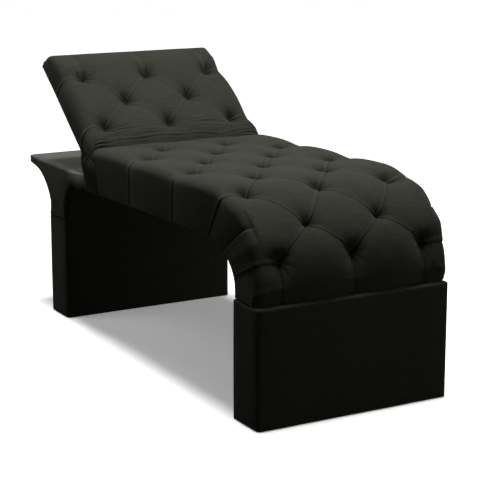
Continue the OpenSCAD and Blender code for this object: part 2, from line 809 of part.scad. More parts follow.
// Backrest
module back_stiles() {
    color("#c9a877") both_sides() difference() {
        on_back() block(
            [arm_in_x - stile_w, back_start, rear_cloth_t],
            [arm_in_x, back_frame_l, rear_cloth_t + stile_t]
        );
        at_moving_screws() translate([0, 0, -screw_l])
            cylinder(r = screw_r + fixed_clear, h = screw_l + over);
    }
}
module back_cross_rails() {
    x = arm_in_x - stile_w;
    mid = back_first_row + (back_tuft_pitch - back_rail_w) / 2;
    starts = concat(
        [back_start], [for (r = [0:back_rows - 2]) mid + r * back_tuft_pitch], [back_frame_l - back_rail_w]
    );
    color("#b9945f") on_back() for (s = starts)
        block([-x, s, rear_cloth_t], [x, s + back_rail_w, rear_cloth_t + stile_t]);
}
module back_panel() {
    x = skirt_in_x - soft_gap;
    color("#d2b483") difference() {
        on_back() block([-x, back_start, rear_cloth_t + stile_t], [x, back_frame_l, back_front]);
        at_back_tufts() twine_hole(back_panel_t);
    }
}
module back_rear_cloth() {
    x = half_w - draw_in;
    color("#23231f") on_back() block([-x, back_start, 0], [x, back_frame_l + pad_end_over, rear_cloth_t]);
}

// Ring of the backrest's cushion: foam over the panel with skirts down both sides of the frame
function skirted_ring(s_low, s_high, r, fade, extra) =
    let (
        base = [s_low, back_front + soft_gap], crown = [s_high, back_front + back_foam_t],
        foot_z = rear_cloth_t + soft_gap, x = half_w - draw_in)
    concat(top_ring(base, crown, r, back_rows - 1, back_columns, fade, extra), [
        [x, s_low, foot_z], [skirt_in_x, s_low, foot_z], [skirt_in_x, s_low, base[1]],
        [-skirt_in_x, s_low, base[1]], [-skirt_in_x, s_low, foot_z], [-x, s_low, foot_z]
    ]);
module back_pad() {
    last_s = back_first_row + (back_rows - 1) * back_tuft_pitch;
    end_s = back_frame_l + pad_end_over;
    ends = len(back_end_steps);
    back_end_row = back_rows - 1 + end_row_share;
    rings = concat(
        [skirted_ring(back_start, back_start + back_start_lean, -1, 0, seat_end_round)],
        [for (k = [2:rows_between - 1]) let (share = k / rows_between)
            skirted_ring(back_first_row * share, back_first_row * share, share - 1, 1, 0)],
        [for (r = [0:back_rows - 2]) for (k = [0:rows_between - 1]) let (
            row = r + k / rows_between, s = back_first_row + row * back_tuft_pitch)
            skirted_ring(s, s, row, 1, 0)],
        [skirted_ring(last_s, last_s, back_rows - 1, 1, 0)],
        [for (k = [1:2]) let (s = last_s + (end_s - back_end_steps[ends - 1] - last_s) * k / 3)
            skirted_ring(s, s, back_rows - 1 + k / rows_between, 1, 0)],
        [for (i = [ends - 1:-1:0]) let (
            s = end_s - back_end_steps[i],
            lean = back_end_lean * (1 - back_end_steps[i] / back_end_steps[ends - 1]))
            skirted_ring(s, s - lean, back_end_row, i == 0 ? 0 : 1, back_end_rounds[i])]
    );
    color("#2b2b27") on_back() skin(rings, true);
}
module at_back_tufts() {
    for (r = [0:back_rows - 1]) for (c = tuft_columns(r, back_columns))
        on_back() translate([
            c * tuft_pitch_x, back_first_row + r * back_tuft_pitch, rear_cloth_t + stile_t - washer_stand_flat
        ]) children();
}
module back_tuft_twines() {
    color("#3a3a38") at_back_tufts() twine(back_panel_t, back_foam_t - tuft_depth);
}
module back_tuft_washers() {
    color("#6f7175") at_back_tufts() washer();
}

// Ratchet hinges. A plate is drawn in the side view about the hinge line.
module hinge_plate(x1) {
    at_hinge() translate([x1, 0, 0]) rotate([90, 0, 90]) linear_extrude(plate_t) children();
}
module hinge_hole(p, r) {
    at_hinge() translate([arm_in_x - over, p[0], p[1]]) rotate([0, 90, 0])
        cylinder(r = r, h = 3 * plate_t + 2 * over);
}
module at_fixed_screws() {
    for (v = fixed_screws) at_hinge() translate([rail_in_x, v, -screw_low]) rotate([0, 90, 0]) children();
}
module at_moving_screws() {
    for (s = moving_screws) at_hinge() rotate([rest_angle, 0, 0])
        translate([arm_in_x, s, -arm_t_mid]) rotate([0, 90, 0]) children();
}

module hinge_fixed_arms() {
    color("#9a9da1") both_sides() difference() {
        hinge_plate(rail_in_x - plate_t) union() {
            circle(arm_head_r);
            polygon([
                [-arm_foot_back, -arm_foot_low], [arm_foot_front, -arm_foot_low],
                [arm_head_r, 0], [-arm_head_r, 0],
                [-arm_neck_back, -arm_foot_top], [-arm_foot_back, -arm_foot_top]
            ]);
        }
        hinge_hole([0, 0], spigot_r + fixed_clear);
        hinge_hole(pawl_at, pawl_spigot_r + fixed_clear);
        hinge_hole(spring_at + pawl_at, spring_post_r + fixed_clear);
        at_fixed_screws() translate([0, 0, -plate_t - over])
            cylinder(r = screw_r + fixed_clear, h = plate_t + 2 * over);
    }
}

// Gap between two teeth: a radial locking face, a floor and a slope
module tooth_gap(angle) {
    out = tooth_tip_r + over;
    slope_end = angle + lock_angle - click_angle + land_angle;
    floor_end = polar(tooth_root_r, angle - floor_angle);
    polygon([
        polar(out, angle + lock_angle), polar(tooth_root_r, angle + lock_angle),
        floor_end, between(floor_end, polar(tooth_tip_r, slope_end), slope_reach_share)
    ]);
}
module hinge_moving_arms() {
    tail = arm_l - arm_tail_r;
    sink_share = (screw_head_r - screw_r) / screw_head_h;
    color("#9a9da1") both_sides() difference() {
        hinge_plate(arm_in_x) difference() {
            union() {
                circle(tooth_tip_r, $fn = 120);
                rotate(rest_angle) translate([0, -arm_t_mid - arm_w / 2]) square([tail, arm_w]);
                rotate(rest_angle) translate([tail, -arm_t_mid]) circle(arm_tail_r);
            }
            for (k = [-clicks_up:clicks_down]) tooth_gap(tip_angle + k * click_angle);
        }
        hinge_hole([0, 0], pivot_r + run_clear);
        at_moving_screws() {
            translate([0, 0, -over]) cylinder(r = screw_r + fixed_clear, h = plate_t + 2 * over);
            translate([0, 0, plate_t - screw_head_h])
                cylinder(r1 = screw_r, r2 = screw_head_r + over * sink_share, h = screw_head_h + over);
        }
    }
}

// Shouldered rivets: a head, a shoulder that turns in the plate and a spigot in the fixed arm
module shoulder_rivet(p, head_r, head_t, shoulder_r, spigot) {
    at_hinge() translate([arm_in_x, p[0], p[1]]) rotate([0, 90, 0]) {
        translate([0, 0, -head_t - run_clear]) cylinder(r = head_r, h = head_t);
        translate([0, 0, -run_clear]) cylinder(r = shoulder_r, h = plate_t + hinge_gap + run_clear);
        cylinder(r = spigot, h = 2 * plate_t + hinge_gap);
    }
}
module hinge_pins() {
    color("#c2c5c9") both_sides() shoulder_rivet([0, 0], pin_head_r, pin_head_t, pivot_r, spigot_r);
}
module pawl_pins() {
    color("#c2c5c9") both_sides() {
        shoulder_rivet(pawl_at, pawl_head_r, pawl_head_t, pawl_pivot_r, pawl_spigot_r);
        at_hinge() translate([arm_in_x, spring_at[0] + pawl_at[0], spring_at[1] + pawl_at[1]])
            rotate([0, 90, 0]) cylinder(r = spring_post_r, h = 2 * plate_t + hinge_gap);
    }
}

// Pawl: drawn seated in a tooth gap, then swung clear of the teeth
module pawl() {
    lock = tip_angle + lock_angle - tip_clear_angle;
    floor_end = tip_angle - floor_angle + tip_clear_angle;
    inner = tooth_root_r + tip_clear;
    slope_end = tip_angle + lock_angle - click_angle + land_angle + 2 * tip_clear_angle;
    tip = [polar(inner, lock), polar(inner, floor_end), polar(tooth_tip_r + tip_clear, slope_end)];
    color("#7f8286") difference() {
        hinge_plate(arm_in_x) translate(pawl_at) rotate(-pawl_off_angle) translate(-pawl_at) union() {
            polygon(concat(tip, [pawl_at + pawl_side, pawl_at - pawl_side, polar(pawl_heel, lock)]));
            translate(pawl_at) circle(pawl_eye_r);
        }
        hinge_hole(pawl_at, pawl_pivot_r + run_clear);
    }
}
module pawl_right() { pawl(); }
module pawl_left() { mirror([1, 0, 0]) pawl(); }

// Leaf springs: an eye on the post and a blade that lies under the pawl
module pawl_springs() {
    post = pawl_at + spring_at;
    low_edge = [-pawl_side, polar(pawl_heel, tip_angle + lock_angle - tip_clear_angle) - pawl_at];
    under = turned(between(low_edge[0], low_edge[1], spring_share), -pawl_off_angle);
    touch = pawl_at + under - [0, soft_gap];
    along = touch - post;
    blade_out = spring_post_r + spring_t;
    blade_l = sqrt(pow(norm(along), 2) - pow(blade_out, 2));
    angle = atan2(along[1], along[0]) - asin(blade_out / norm(along));
    color("#b5b8bc") both_sides() difference() {
        hinge_plate(arm_in_x) translate(post) {
            circle(spring_post_r + fixed_clear + spring_t, $fn = 32);
            rotate(angle) translate([0, spring_post_r]) square([blade_l, spring_t]);
        }
        hinge_hole(post, spring_post_r + fixed_clear);
    }
}

module fixed_arm_screws() {
    color("#a3a6aa") both_sides() at_fixed_screws() {
        translate([0, 0, -plate_t - screw_head_h]) cylinder(r = screw_head_r, h = screw_head_h);
        translate([0, 0, -plate_t - screw_head_h]) cylinder(r = screw_r, h = screw_head_h + screw_l);
    }
}
module moving_arm_screws() {
    color("#a3a6aa") both_sides() at_moving_screws() {
        translate([0, 0, plate_t - screw_head_h])
            cylinder(r1 = screw_r, r2 = screw_head_r - fixed_clear, h = screw_head_h);
        translate([0, 0, plate_t - screw_head_h - screw_l]) cylinder(r = screw_r, h = screw_l);
    }
}

foot_front_panel();
foot_back_panel();
foot_end_panels();
foot_top_panel();
foot_corner_blocks();
foot_padding();
foot_cover();
foot_base_cloth();
foot_glides();
head_front_panel();
head_back_panel();
head_end_panels();
head_top_panel();
head_corner_blocks();
head_padding();
head_cover();
head_base_cloth();
head_glides();
side_rails();
cross_rails();
foot_board();
seat_deck();
underside_cloth();
side_wraps();
flare_ribs();
flare_base_board();
flare_head_skin();
flare_foot_skin();
flare_cover();
shelf_panel();
shelf_cover();
seat_bolts();
t_nuts();
seat_pad();
fold_pad();
seat_tuft_twines();
seat_tuft_washers();
back_stiles();
back_cross_rails();
back_panel();
back_rear_cloth();
back_pad();
back_tuft_twines();
back_tuft_washers();
hinge_fixed_arms();
hinge_moving_arms();
hinge_pins();
pawl_left();
pawl_right();
pawl_pins();
pawl_springs();
fixed_arm_screws();
moving_arm_screws();
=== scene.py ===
# %% [markdown]
# A treatment bed for eyelash work, upholstered in dark cloth. It has a wave-shaped mattress with
# pulled tufts, a backrest that folds on ratchet hinges, two covered pedestals and a flared bracket
# that ends in a small shelf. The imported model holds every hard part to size. This file gives the
# bed its cloth, its folds and its finishes, piece by piece, in the same frame.

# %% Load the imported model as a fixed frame
import json

import bpy
import numpy as np
from mathutils import Matrix, Vector


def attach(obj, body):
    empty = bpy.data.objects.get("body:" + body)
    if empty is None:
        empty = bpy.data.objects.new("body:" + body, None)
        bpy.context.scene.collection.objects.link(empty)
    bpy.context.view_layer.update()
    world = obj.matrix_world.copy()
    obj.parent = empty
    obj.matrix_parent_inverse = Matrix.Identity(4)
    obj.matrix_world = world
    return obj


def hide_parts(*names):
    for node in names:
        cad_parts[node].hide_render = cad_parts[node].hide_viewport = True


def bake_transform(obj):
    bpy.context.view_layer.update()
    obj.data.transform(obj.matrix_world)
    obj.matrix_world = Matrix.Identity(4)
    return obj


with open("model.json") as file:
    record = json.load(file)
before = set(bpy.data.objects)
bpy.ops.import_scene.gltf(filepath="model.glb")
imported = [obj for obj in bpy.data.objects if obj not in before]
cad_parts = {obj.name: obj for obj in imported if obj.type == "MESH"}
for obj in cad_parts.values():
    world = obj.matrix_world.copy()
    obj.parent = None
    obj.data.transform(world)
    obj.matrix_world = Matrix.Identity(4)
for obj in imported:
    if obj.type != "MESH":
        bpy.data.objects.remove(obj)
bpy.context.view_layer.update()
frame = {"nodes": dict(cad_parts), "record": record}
nodes = frame["nodes"]
COLLECTION = bpy.context.scene.collection
MM = 0.001

# %% [markdown]
# The camera stands at the left of the foot end, a little above the mattress. Its place and turn were
# worked out from the straight edges of the two pedestals, so only the three turns, the place and the
# lens are written here. Blender's camera looks along its own minus z, so the view direction becomes
# the third column of its matrix with the sign changed.

# %% The camera
CAMERA_PLACE = np.array([-2.518975, -4.660527, 1.593804])
YAW, PITCH, ROLL = 0.5105, 0.2253, -0.0005
SENSOR_MM, LENS_MM = 36.0, 114.2615


def camera_axes(yaw, pitch, roll):
    """Right, up and view directions: view = (sin yaw cos pitch, cos yaw cos pitch, -sin pitch)."""
    view = np.array([np.sin(yaw) * np.cos(pitch), np.cos(yaw) * np.cos(pitch), -np.sin(pitch)])
    level = np.cross(view, [0, 0, 1])
    level /= np.linalg.norm(level)
    above = np.cross(level, view)
    right = level * np.cos(roll) + above * np.sin(roll)
    up = above * np.cos(roll) - level * np.sin(roll)
    return right, up, view


right, up, view_line = camera_axes(YAW, PITCH, ROLL)
camera_data = bpy.data.cameras.new("camera")
camera_data.sensor_width = SENSOR_MM
camera_data.lens = LENS_MM
camera_data.clip_end = 100
camera = bpy.data.objects.new("camera", camera_data)
COLLECTION.objects.link(camera)
turn = np.eye(4)
turn[:3] = np.stack([right, up, -view_line, CAMERA_PLACE], -1)
camera.matrix_world = Matrix(turn.tolist())
bpy.context.scene.camera = camera
print("camera at", CAMERA_PLACE.tolist(), "lens", LENS_MM)

# %% [markdown]
# Six lamps light the bed. A soft sun straight overhead and a wide lamp above the bed carry the light,
# and weaker ones stand at both sides, behind the head and before the foot end. One strong key lamp
# would be simpler, but it would leave the sides of a dark bed without any form.

# %% Lamps
bpy.context.scene.view_settings.view_transform = "Standard"
SUN_POWER, SUN_DEGREES = 1.36, 12
# Each lamp's place and aim in metres, its power in watts and its width in metres
AREA_LAMPS = {
    "over_bed": ((0, -0.45, 2.3), (0, 0.75, 0.7), 22, 0.8),
    "left_side": ((-1.2, 0.9, 1.7), (-0.35, 0.3, 0.6), 2.4, 0.6),
    "behind": ((-0.5, 3.4, 2.4), (-0.1, 0.8, 0.6), 17, 1.0),
    "foot_end": ((1.0, -3.5, 0.7), (0, -0.8, 0.3), 6.0, 1.0),
    "right_side": ((2.9, -0.8, 0.45), (0, 0.5, 0.2), 13, 0.8),
}


def lamp(name, kind, place, aim, power):
    """Data of a lamp at a place, turned so that its minus z points at aim."""
    data = bpy.data.lights.new(name, kind)
    data.energy = power
    made = bpy.data.objects.new(name, data)
    COLLECTION.objects.link(made)
    made.location = place
    made.rotation_euler = (Vector(aim) - Vector(place)).to_track_quat("-Z", "Y").to_euler()
    return data


lamp("overhead", "SUN", (0, 0, 5), (0, 0, 0), SUN_POWER).angle = np.radians(SUN_DEGREES)
for name, (place, aim, power, width) in AREA_LAMPS.items():
    lamp(name, "AREA", place, aim, power).size = width
print("lamps:", 1 + len(AREA_LAMPS))

# %% [markdown]
# The room, the floor and every finish are small trees of nodes. They could be put together by hand in
# the editor, but a few helpers write them out in a form that can be read and used again.

# %% Helpers for trees of nodes


def feed(tree, node, inputs):
    """Gives each input, by its name or number, a link from a socket or else a plain value."""
    for label, value in inputs.items():
        if isinstance(value, bpy.types.NodeSocket):
            tree.links.new(value, node.inputs[label])
        else:
            node.inputs[label].default_value = value
    return node


def new_node(tree, kind, inputs=None):
    """Outputs of a new node of a kind, with its inputs fed."""
    return feed(tree, tree.nodes.new(kind), inputs or {}).outputs


def maths(tree, operation, *values, clamp=False):
    """Output of a Math node on one to three sockets or numbers."""
    node = tree.nodes.new("ShaderNodeMath")
    node.operation = operation
    node.use_clamp = clamp
    return feed(tree, node, dict(enumerate(values))).outputs[0]


def to_range(tree, value, low, high):
    """Value from 0 to 1 turned into a value from low to high."""
    return maths(tree, "MULTIPLY_ADD", value, high - low, low)


def mix_colour(tree, share, first, second):
    """Colour between two colours, each given as three numbers or a socket."""
    node = tree.nodes.new("ShaderNodeMix")
    node.data_type = "RGBA"
    first, second = ((*colour, 1) if isinstance(colour, tuple) else colour for colour in (first, second))
    return feed(tree, node, {"Factor": share, "A": first, "B": second}).outputs["Result"]


# %% [markdown]
# The room is white to the camera and in reflections, and nearly black to the light. Light Path tells
# the two apart, so the white background adds nothing to the light on the cloth.

# %% The room
ROOM_LEVEL = 0.006
world = bpy.data.worlds.new("room")
bpy.context.scene.world = world
world.use_nodes = True
room = world.node_tree
room.nodes.clear()
rays = new_node(room, "ShaderNodeLightPath")
mirrored = maths(room, "MAXIMUM", rays["Is Glossy Ray"], rays["Is Transmission Ray"])
seen = maths(room, "MAXIMUM", rays["Is Camera Ray"], mirrored)
strength = to_range(room, seen, ROOM_LEVEL, 1.0)
background = new_node(room, "ShaderNodeBackground", {"Color": (1, 1, 1, 1), "Strength": strength})
new_node(room, "ShaderNodeOutputWorld", {"Surface": background[0]})
print("room level", ROOM_LEVEL)

# %% [markdown]
# Every new piece is a grid of points worked out with numpy and put into a mesh in one go. The points
# are in millimetres, as the sizes of the bed are, and the first helper turns them into metres.

# %% Helpers that turn arrays into meshes


def mesh_piece(name, points, faces):
    """Smooth object at the origin from points in millimetres and lists of corner numbers."""
    mesh = bpy.data.meshes.new(name)
    mesh.from_pydata((np.asarray(points, float) * MM).tolist(), [], faces)
    mesh.validate(clean_customdata=False)
    mesh.shade_smooth()
    piece = bpy.data.objects.new(name, mesh)
    COLLECTION.objects.link(piece)
    return piece


def grid_quads(rows, columns, ring=False, start=0):
    """Corner numbers of the cells of a rows by columns grid, closed round the columns if ring."""
    i, j = np.meshgrid(np.arange(rows - 1), np.arange(columns if ring else columns - 1), indexing="ij")
    j_next = (j + 1) % columns
    quads = np.stack([i * columns + j, i * columns + j_next,
                      (i + 1) * columns + j_next, (i + 1) * columns + j], -1)
    return quads.reshape(-1, 4) + start


def set_attribute(piece, name, values):
    """One number per point, for a material's Attribute node."""
    layer = piece.data.attributes.new(name, "FLOAT", "POINT")
    layer.data.foreach_set("value", np.asarray(values, np.float32).ravel())


# %% [markdown]
# The floor is one pale sheet. To the camera it is bright and glows a little, so that the lit floor is
# pure white while the bed's shadow stays a soft grey. To the light it is nearly black, so that it
# throws hardly any light up at the bed's sides.

# %% The floor
FLOOR_HALF = 14000
FLOOR_GLOW, FLOOR_IN_LIGHT, FLOOR_SEEN = 0.23, (0.04, 0.04, 0.04), (1.95, 1.95, 1.95)
corners = FLOOR_HALF * np.array([[-1, -1, 0], [1, -1, 0], [1, 1, 0], [-1, 1, 0]])
floor = mesh_piece("floor", corners, [[0, 1, 2, 3]])
floor_paint = bpy.data.materials.new("studio_floor")
floor_paint.use_nodes = True
floor_tree = floor_paint.node_tree
floor_tree.nodes.clear()
to_camera = new_node(floor_tree, "ShaderNodeLightPath")["Is Camera Ray"]
glow_strength = maths(floor_tree, "MULTIPLY", to_camera, FLOOR_GLOW)
glow = new_node(floor_tree, "ShaderNodeEmission", {"Strength": glow_strength})
tone = mix_colour(floor_tree, to_camera, FLOOR_IN_LIGHT, FLOOR_SEEN)
matt = new_node(floor_tree, "ShaderNodeBsdfDiffuse", {"Color": tone})
glow_and_matt = new_node(floor_tree, "ShaderNodeAddShader", {0: glow[0], 1: matt[0]})
new_node(floor_tree, "ShaderNodeOutputMaterial", {"Surface": glow_and_matt[0]})
floor.data.materials.append(floor_paint)
print("floor", 2 * FLOOR_HALF * MM, "m")

# %% [markdown]
# The finishes share a few effects: a fine weave, a slow shift of the nap, wood figure and the streaks
# of drawn metal. Each is a node group, built once, that gives out only a mask or a height, and every
# material mixes it at its own strength.

# %% Shared effects as node groups


def new_group(name, numbers_in, masks_out):
    """Node group with a vector and numbers in and masks out, with the sockets and the end inside it."""
    group = bpy.data.node_groups.new(name, "ShaderNodeTree")
    group.interface.new_socket("Vector", in_out="INPUT", socket_type="NodeSocketVector")
    for label, value in numbers_in.items():
        socket = group.interface.new_socket(label, in_out="INPUT", socket_type="NodeSocketFloat")
        socket.default_value = value
    for label in masks_out:
        group.interface.new_socket(label, in_out="OUTPUT", socket_type="NodeSocketFloat")
    return group, new_node(group, "NodeGroupInput"), group.nodes.new("NodeGroupOutput")


def noise(tree, vector, scale, detail, roughness, stretch=(1, 1, 1)):
    """Noise texture on a vector that is first stretched by three factors."""
    stretched = new_node(tree, "ShaderNodeMapping", {"Vector": vector, "Scale": stretch})
    return new_node(tree, "ShaderNodeTexNoise", {"Vector": stretched["Vector"], "Scale": scale,
                                                 "Detail": detail, "Roughness": roughness})["Fac"]


def noise_group(name, masks):
    """Node group that gives out one noise per mask, from its scale, detail, roughness and stretch."""
    group, inside, end = new_group(name, {}, masks)
    feed(group, end, {label: noise(group, inside["Vector"], *values) for label, values in masks.items()})
    return group


# The nap: pile that was brushed this way and that, so broad patches are a little lighter
nap_group = noise_group("nap", {"Patches": (7.0, 4.0, 0.55), "Fine": (420.0, 2.0, 0.7)})
# Wood: figure and pores, both drawn out along the bed
wood_group = noise_group("wood_figure", {"Figure": (9.0, 6.0, 0.6, (6, 0.6, 6)),
                                         "Pores": (160.0, 3.0, 0.6, (4, 0.15, 4))})
# Drawn metal: streaks along one axis, and even spots
drawn_group = noise_group("drawn_streaks", {"Streaks": (180.0, 3.0, 0.6, (8, 0.3, 8)),
                                            "Spots": (60.0, 4.0, 0.6)})
print("noise groups:", nap_group.name, wood_group.name, drawn_group.name)

# %% The weave
# Height: products of sine waves along each two axes, added up; slub: noise drawn out along threads
THREADS_PER_METRE = 900.0
SLUB_NOISE, SLUB_STRETCHES = (240.0, 2.0, 0.6), ((0.12, 0.12, 1), (1, 1, 0.1))
weave_group, weave_in, weave_end = new_group("weave", {"Threads per metre": THREADS_PER_METRE},
                                             ["Height", "Slub"])
turns = maths(weave_group, "MULTIPLY", weave_in["Threads per metre"], float(2 * np.pi))
axes = new_node(weave_group, "ShaderNodeSeparateXYZ", {0: weave_in["Vector"]})
waves = [maths(weave_group, "SINE", maths(weave_group, "MULTIPLY", axis, turns)) for axis in axes]
level_threads = maths(weave_group, "MULTIPLY", waves[0], waves[1])
upright_threads = maths(weave_group, "MULTIPLY", waves[2], maths(weave_group, "ADD", waves[0], waves[1]))
threads = maths(weave_group, "ADD", level_threads, upright_threads)
uneven = [noise(weave_group, weave_in["Vector"], *SLUB_NOISE, stretch) for stretch in SLUB_STRETCHES]
slub = maths(weave_group, "MULTIPLY", maths(weave_group, "ADD", *uneven), 0.5)
feed(weave_group, weave_end, {"Height": maths(weave_group, "MULTIPLY_ADD", threads, 0.25, 0.5), "Slub": slub})
print("weave:", THREADS_PER_METRE, "threads per metre")

# %% [markdown]
# Both cloths are a dense dark suede. It shines a little where it is seen edge on, which is what the
# sheen of the Principled shader is for. Shade and light are painted into the colour too: painted
# shade in the valleys of pleats, folds and tufts, and painted highlights on the crests and on the
# top of the shelf. A picture could be painted for that, but each piece of cloth knows its own
# pleats, so it carries a number per point that mixes in the other colour.

# %% Cloth materials
PATCH_GAIN, PATCH_SHIFT, PATCH_SHARE = 2.2, -0.6, 0.4
SLUB_GAIN, SLUB_SHIFT = 4.0, -1.8
THREAD_RELIEF, SLUB_RELIEF, NAP_RELIEF = 0.6, 0.5, 0.5
CLOTH_RELIEF, CLOTH_RELIEF_STRENGTH = 0.0006, 0.7
CLOTH_ROUGH, CLOTH_SHEEN = (0.82, 1.0), 0.10


def material(name):
    """New material; returns it with its tree, its Principled shader and the Object coordinates."""
    paint = bpy.data.materials.new(name)
    paint.use_nodes = True
    tree = paint.node_tree
    return paint, tree, tree.nodes["Principled BSDF"], new_node(tree, "ShaderNodeTexCoord")["Object"]


def use_group(tree, group, place):
    """Outputs of a group that is fed with the object's own coordinates."""
    node = tree.nodes.new("ShaderNodeGroup")
    node.node_tree = group
    return feed(tree, node, {"Vector": place}).outputs


def bump(tree, shader, height, distance, strength=1.0):
    """Bump of a real height in metres into the shader's normal."""
    settings = {"Height": height, "Distance": distance, "Strength": strength}
    feed(tree, shader, {"Normal": new_node(tree, "ShaderNodeBump", settings)[0]})


def cloth(name, dark, light, marks):
    """Dark napped cloth: slubs plus patches of the nap mix two colours, then each mark mixes in its
    own colour by the attribute of that name. Threads, slubs and nap add up to the bump."""
    paint, tree, shader, place = material(name)
    weave, nap = use_group(tree, weave_group, place), use_group(tree, nap_group, place)
    patches = maths(tree, "MULTIPLY_ADD", nap["Patches"], PATCH_GAIN, PATCH_SHIFT, clamp=True)
    slubs = maths(tree, "MULTIPLY_ADD", weave["Slub"], SLUB_GAIN, SLUB_SHIFT)
    grain = maths(tree, "MULTIPLY_ADD", patches, PATCH_SHARE, slubs, clamp=True)
    colour = mix_colour(tree, grain, dark, light)
    # Each mark is painted shade or a painted highlight, mixed in by its attribute
    for mark, mark_colour in marks.items():
        carried = tree.nodes.new("ShaderNodeAttribute")
        carried.attribute_name = mark
        colour = mix_colour(tree, carried.outputs["Fac"], colour, mark_colour)
    feed(tree, shader, {"Base Color": colour, "Roughness": to_range(tree, nap["Patches"], *CLOTH_ROUGH),
                        "Specular IOR Level": 0.05, "Sheen Weight": CLOTH_SHEEN,
                        "Sheen Roughness": 0.45, "Sheen Tint": (1.0, 1.0, 0.93, 1)})
    pile = maths(tree, "MULTIPLY", nap["Fine"], NAP_RELIEF)
    pile = maths(tree, "MULTIPLY_ADD", weave["Slub"], SLUB_RELIEF, pile)
    relief = maths(tree, "MULTIPLY_ADD", weave["Height"], THREAD_RELIEF, pile)
    bump(tree, shader, relief, CLOTH_RELIEF, CLOTH_RELIEF_STRENGTH)
    return paint


TUFTED_DARK, TUFTED_LIGHT = np.array([0.0346, 0.0372, 0.0276]), np.array([0.0482, 0.0517, 0.0402])
# Painted shade in valleys and round tufts is a share of the dark colour; the painted highlight on crests is
# the light colour made brighter
VALLEY_SHADE_SHARE, CREST_HIGHLIGHT_GAIN = 0.22, 3.2
tufted_cloth = cloth("tufted_cloth", tuple(TUFTED_DARK), tuple(TUFTED_LIGHT),
                     {"pleat": tuple(VALLEY_SHADE_SHARE * TUFTED_DARK), "crest": tuple(CREST_HIGHLIGHT_GAIN * TUFTED_LIGHT)})
# The cover cloth's third colour is painted light, for the top of the shelf and the flare
cover_cloth = cloth("cover_cloth", (0.0296, 0.0320, 0.0205), (0.0404, 0.0434, 0.0300),
                    {"painted_top_light": (0.310, 0.316, 0.288)})
print("cloths:", tufted_cloth.name, cover_cloth.name)

# %% [markdown]
# Inside the bed there are plywood and beech, foam, a thin black dust cloth, waxed twine, zinc-plated
# screws, steel hinge plates and leaf springs. They hardly show, but a reader who opens the model meets
# them, so each has its own finish. They differ only in their values, so a table and one function
# make them all.

# %% Materials of the inner parts


def plain_finish(name, group, colour_mask, relief_mask, dark, light, rough, relief, metal=0.0):
    """One mask of a group mixes two colours; its other mask roughens and raises the surface."""
    paint, tree, shader, place = material(name)
    masks = use_group(tree, group, place)
    share = maths(tree, "MULTIPLY_ADD", masks[colour_mask], 1.8, -0.4, clamp=True)
    feed(tree, shader, {"Base Color": mix_colour(tree, share, dark, light),
                        "Roughness": to_range(tree, masks[relief_mask], *rough), "Metallic": metal})
    bump(tree, shader, masks[relief_mask], relief)
    return paint


PLY_DARKNESS = 0.45


def add_plies(paint, dark, pitch):
    """Darkens every other ply of a board, seen on its edges: a square wave through the thickness."""
    tree = paint.node_tree
    colour = tree.nodes["Principled BSDF"].inputs["Base Color"]
    before = colour.links[0].from_socket
    axes = new_node(tree, "ShaderNodeSeparateXYZ", {0: new_node(tree, "ShaderNodeTexCoord")["Object"]})
    wave = maths(tree, "SINE", maths(tree, "MULTIPLY", axes["Z"], float(np.pi / pitch)))
    band = maths(tree, "MULTIPLY", maths(tree, "GREATER_THAN", wave, 0.0), PLY_DARKNESS)
    tree.links.new(mix_colour(tree, band, before, dark), colour)


nap, wood = (nap_group, "Patches", "Fine"), (wood_group, "Figure", "Pores")
drawn, spotted = (drawn_group, "Streaks", "Spots"), (drawn_group, "Spots", "Streaks")
# Each finish: its masks, dark and light colour, range of roughness, relief in metres, metal
FINISHES = {
    "sleeve_foam": (*nap, (0.62, 0.55, 0.40), (0.78, 0.72, 0.56), (0.85, 1.0), 0.0012),
    "dust_cloth": (*nap, (0.016, 0.016, 0.016), (0.028, 0.028, 0.028), (0.75, 0.95), 0.0004),
    "twine": (*drawn, (0.035, 0.035, 0.03), (0.08, 0.08, 0.07), (0.55, 0.8), 0.0003),
    "plywood": (*wood, (0.50, 0.34, 0.18), (0.68, 0.50, 0.30), (0.5, 0.7), 0.0003),
    "solid_wood": (*wood, (0.42, 0.26, 0.13), (0.58, 0.39, 0.21), (0.45, 0.65), 0.0003),
    "bent_plywood": (*wood, (0.58, 0.41, 0.24), (0.74, 0.56, 0.35), (0.5, 0.7), 0.0002),
    "glide_plastic": (*nap, (0.024, 0.024, 0.024), (0.036, 0.036, 0.036), (0.45, 0.65), 0.0002),
    "zinc_steel": (*spotted, (0.52, 0.53, 0.55), (0.68, 0.68, 0.66), (0.28, 0.5), 0.0001, 1.0),
    "hinge_steel": (*drawn, (0.36, 0.37, 0.38), (0.50, 0.51, 0.52), (0.32, 0.55), 0.0001, 1.0),
    "pin_steel": (*drawn, (0.58, 0.59, 0.60), (0.72, 0.73, 0.74), (0.22, 0.4), 0.0001, 1.0),
    "spring_steel": (*drawn, (0.46, 0.47, 0.50), (0.62, 0.63, 0.65), (0.18, 0.3), 0.0001, 1.0),
}
finishes = {name: plain_finish(name, *values) for name, values in FINISHES.items()}
# Colour of the dark plies and their thickness in metres
add_plies(finishes["plywood"], (0.36, 0.23, 0.12), 0.0015)
add_plies(finishes["bent_plywood"], (0.42, 0.28, 0.15), 0.001)
finishes.update(cover_cloth=cover_cloth, tufted_cloth=tufted_cloth)

slot_of = {row["node"]: row["material_slot"] for row in frame["record"]["subparts"]}
for name, node in nodes.items():
    for material_slot in node.material_slots:
        material_slot.material = finishes[slot_of[name]]
print("finishes:", len(finishes))

# %% [markdown]
# The mattress is one cover that runs up the foot end, over the wave, into the fold and up the
# backrest. Its surface is a grid: one parameter runs along the bed in rows of tufts, the other runs
# across it in columns, from the hem of the left side over the top to the hem of the right side. The
# rows and columns pass through the tufts, so that every pleat, which joins two tufts on a diagonal,
# runs through the corners of the grid's cells. The shape could be inflated from a flat sewn pattern,
# but then the tufts and hems would land where the simulation left them.

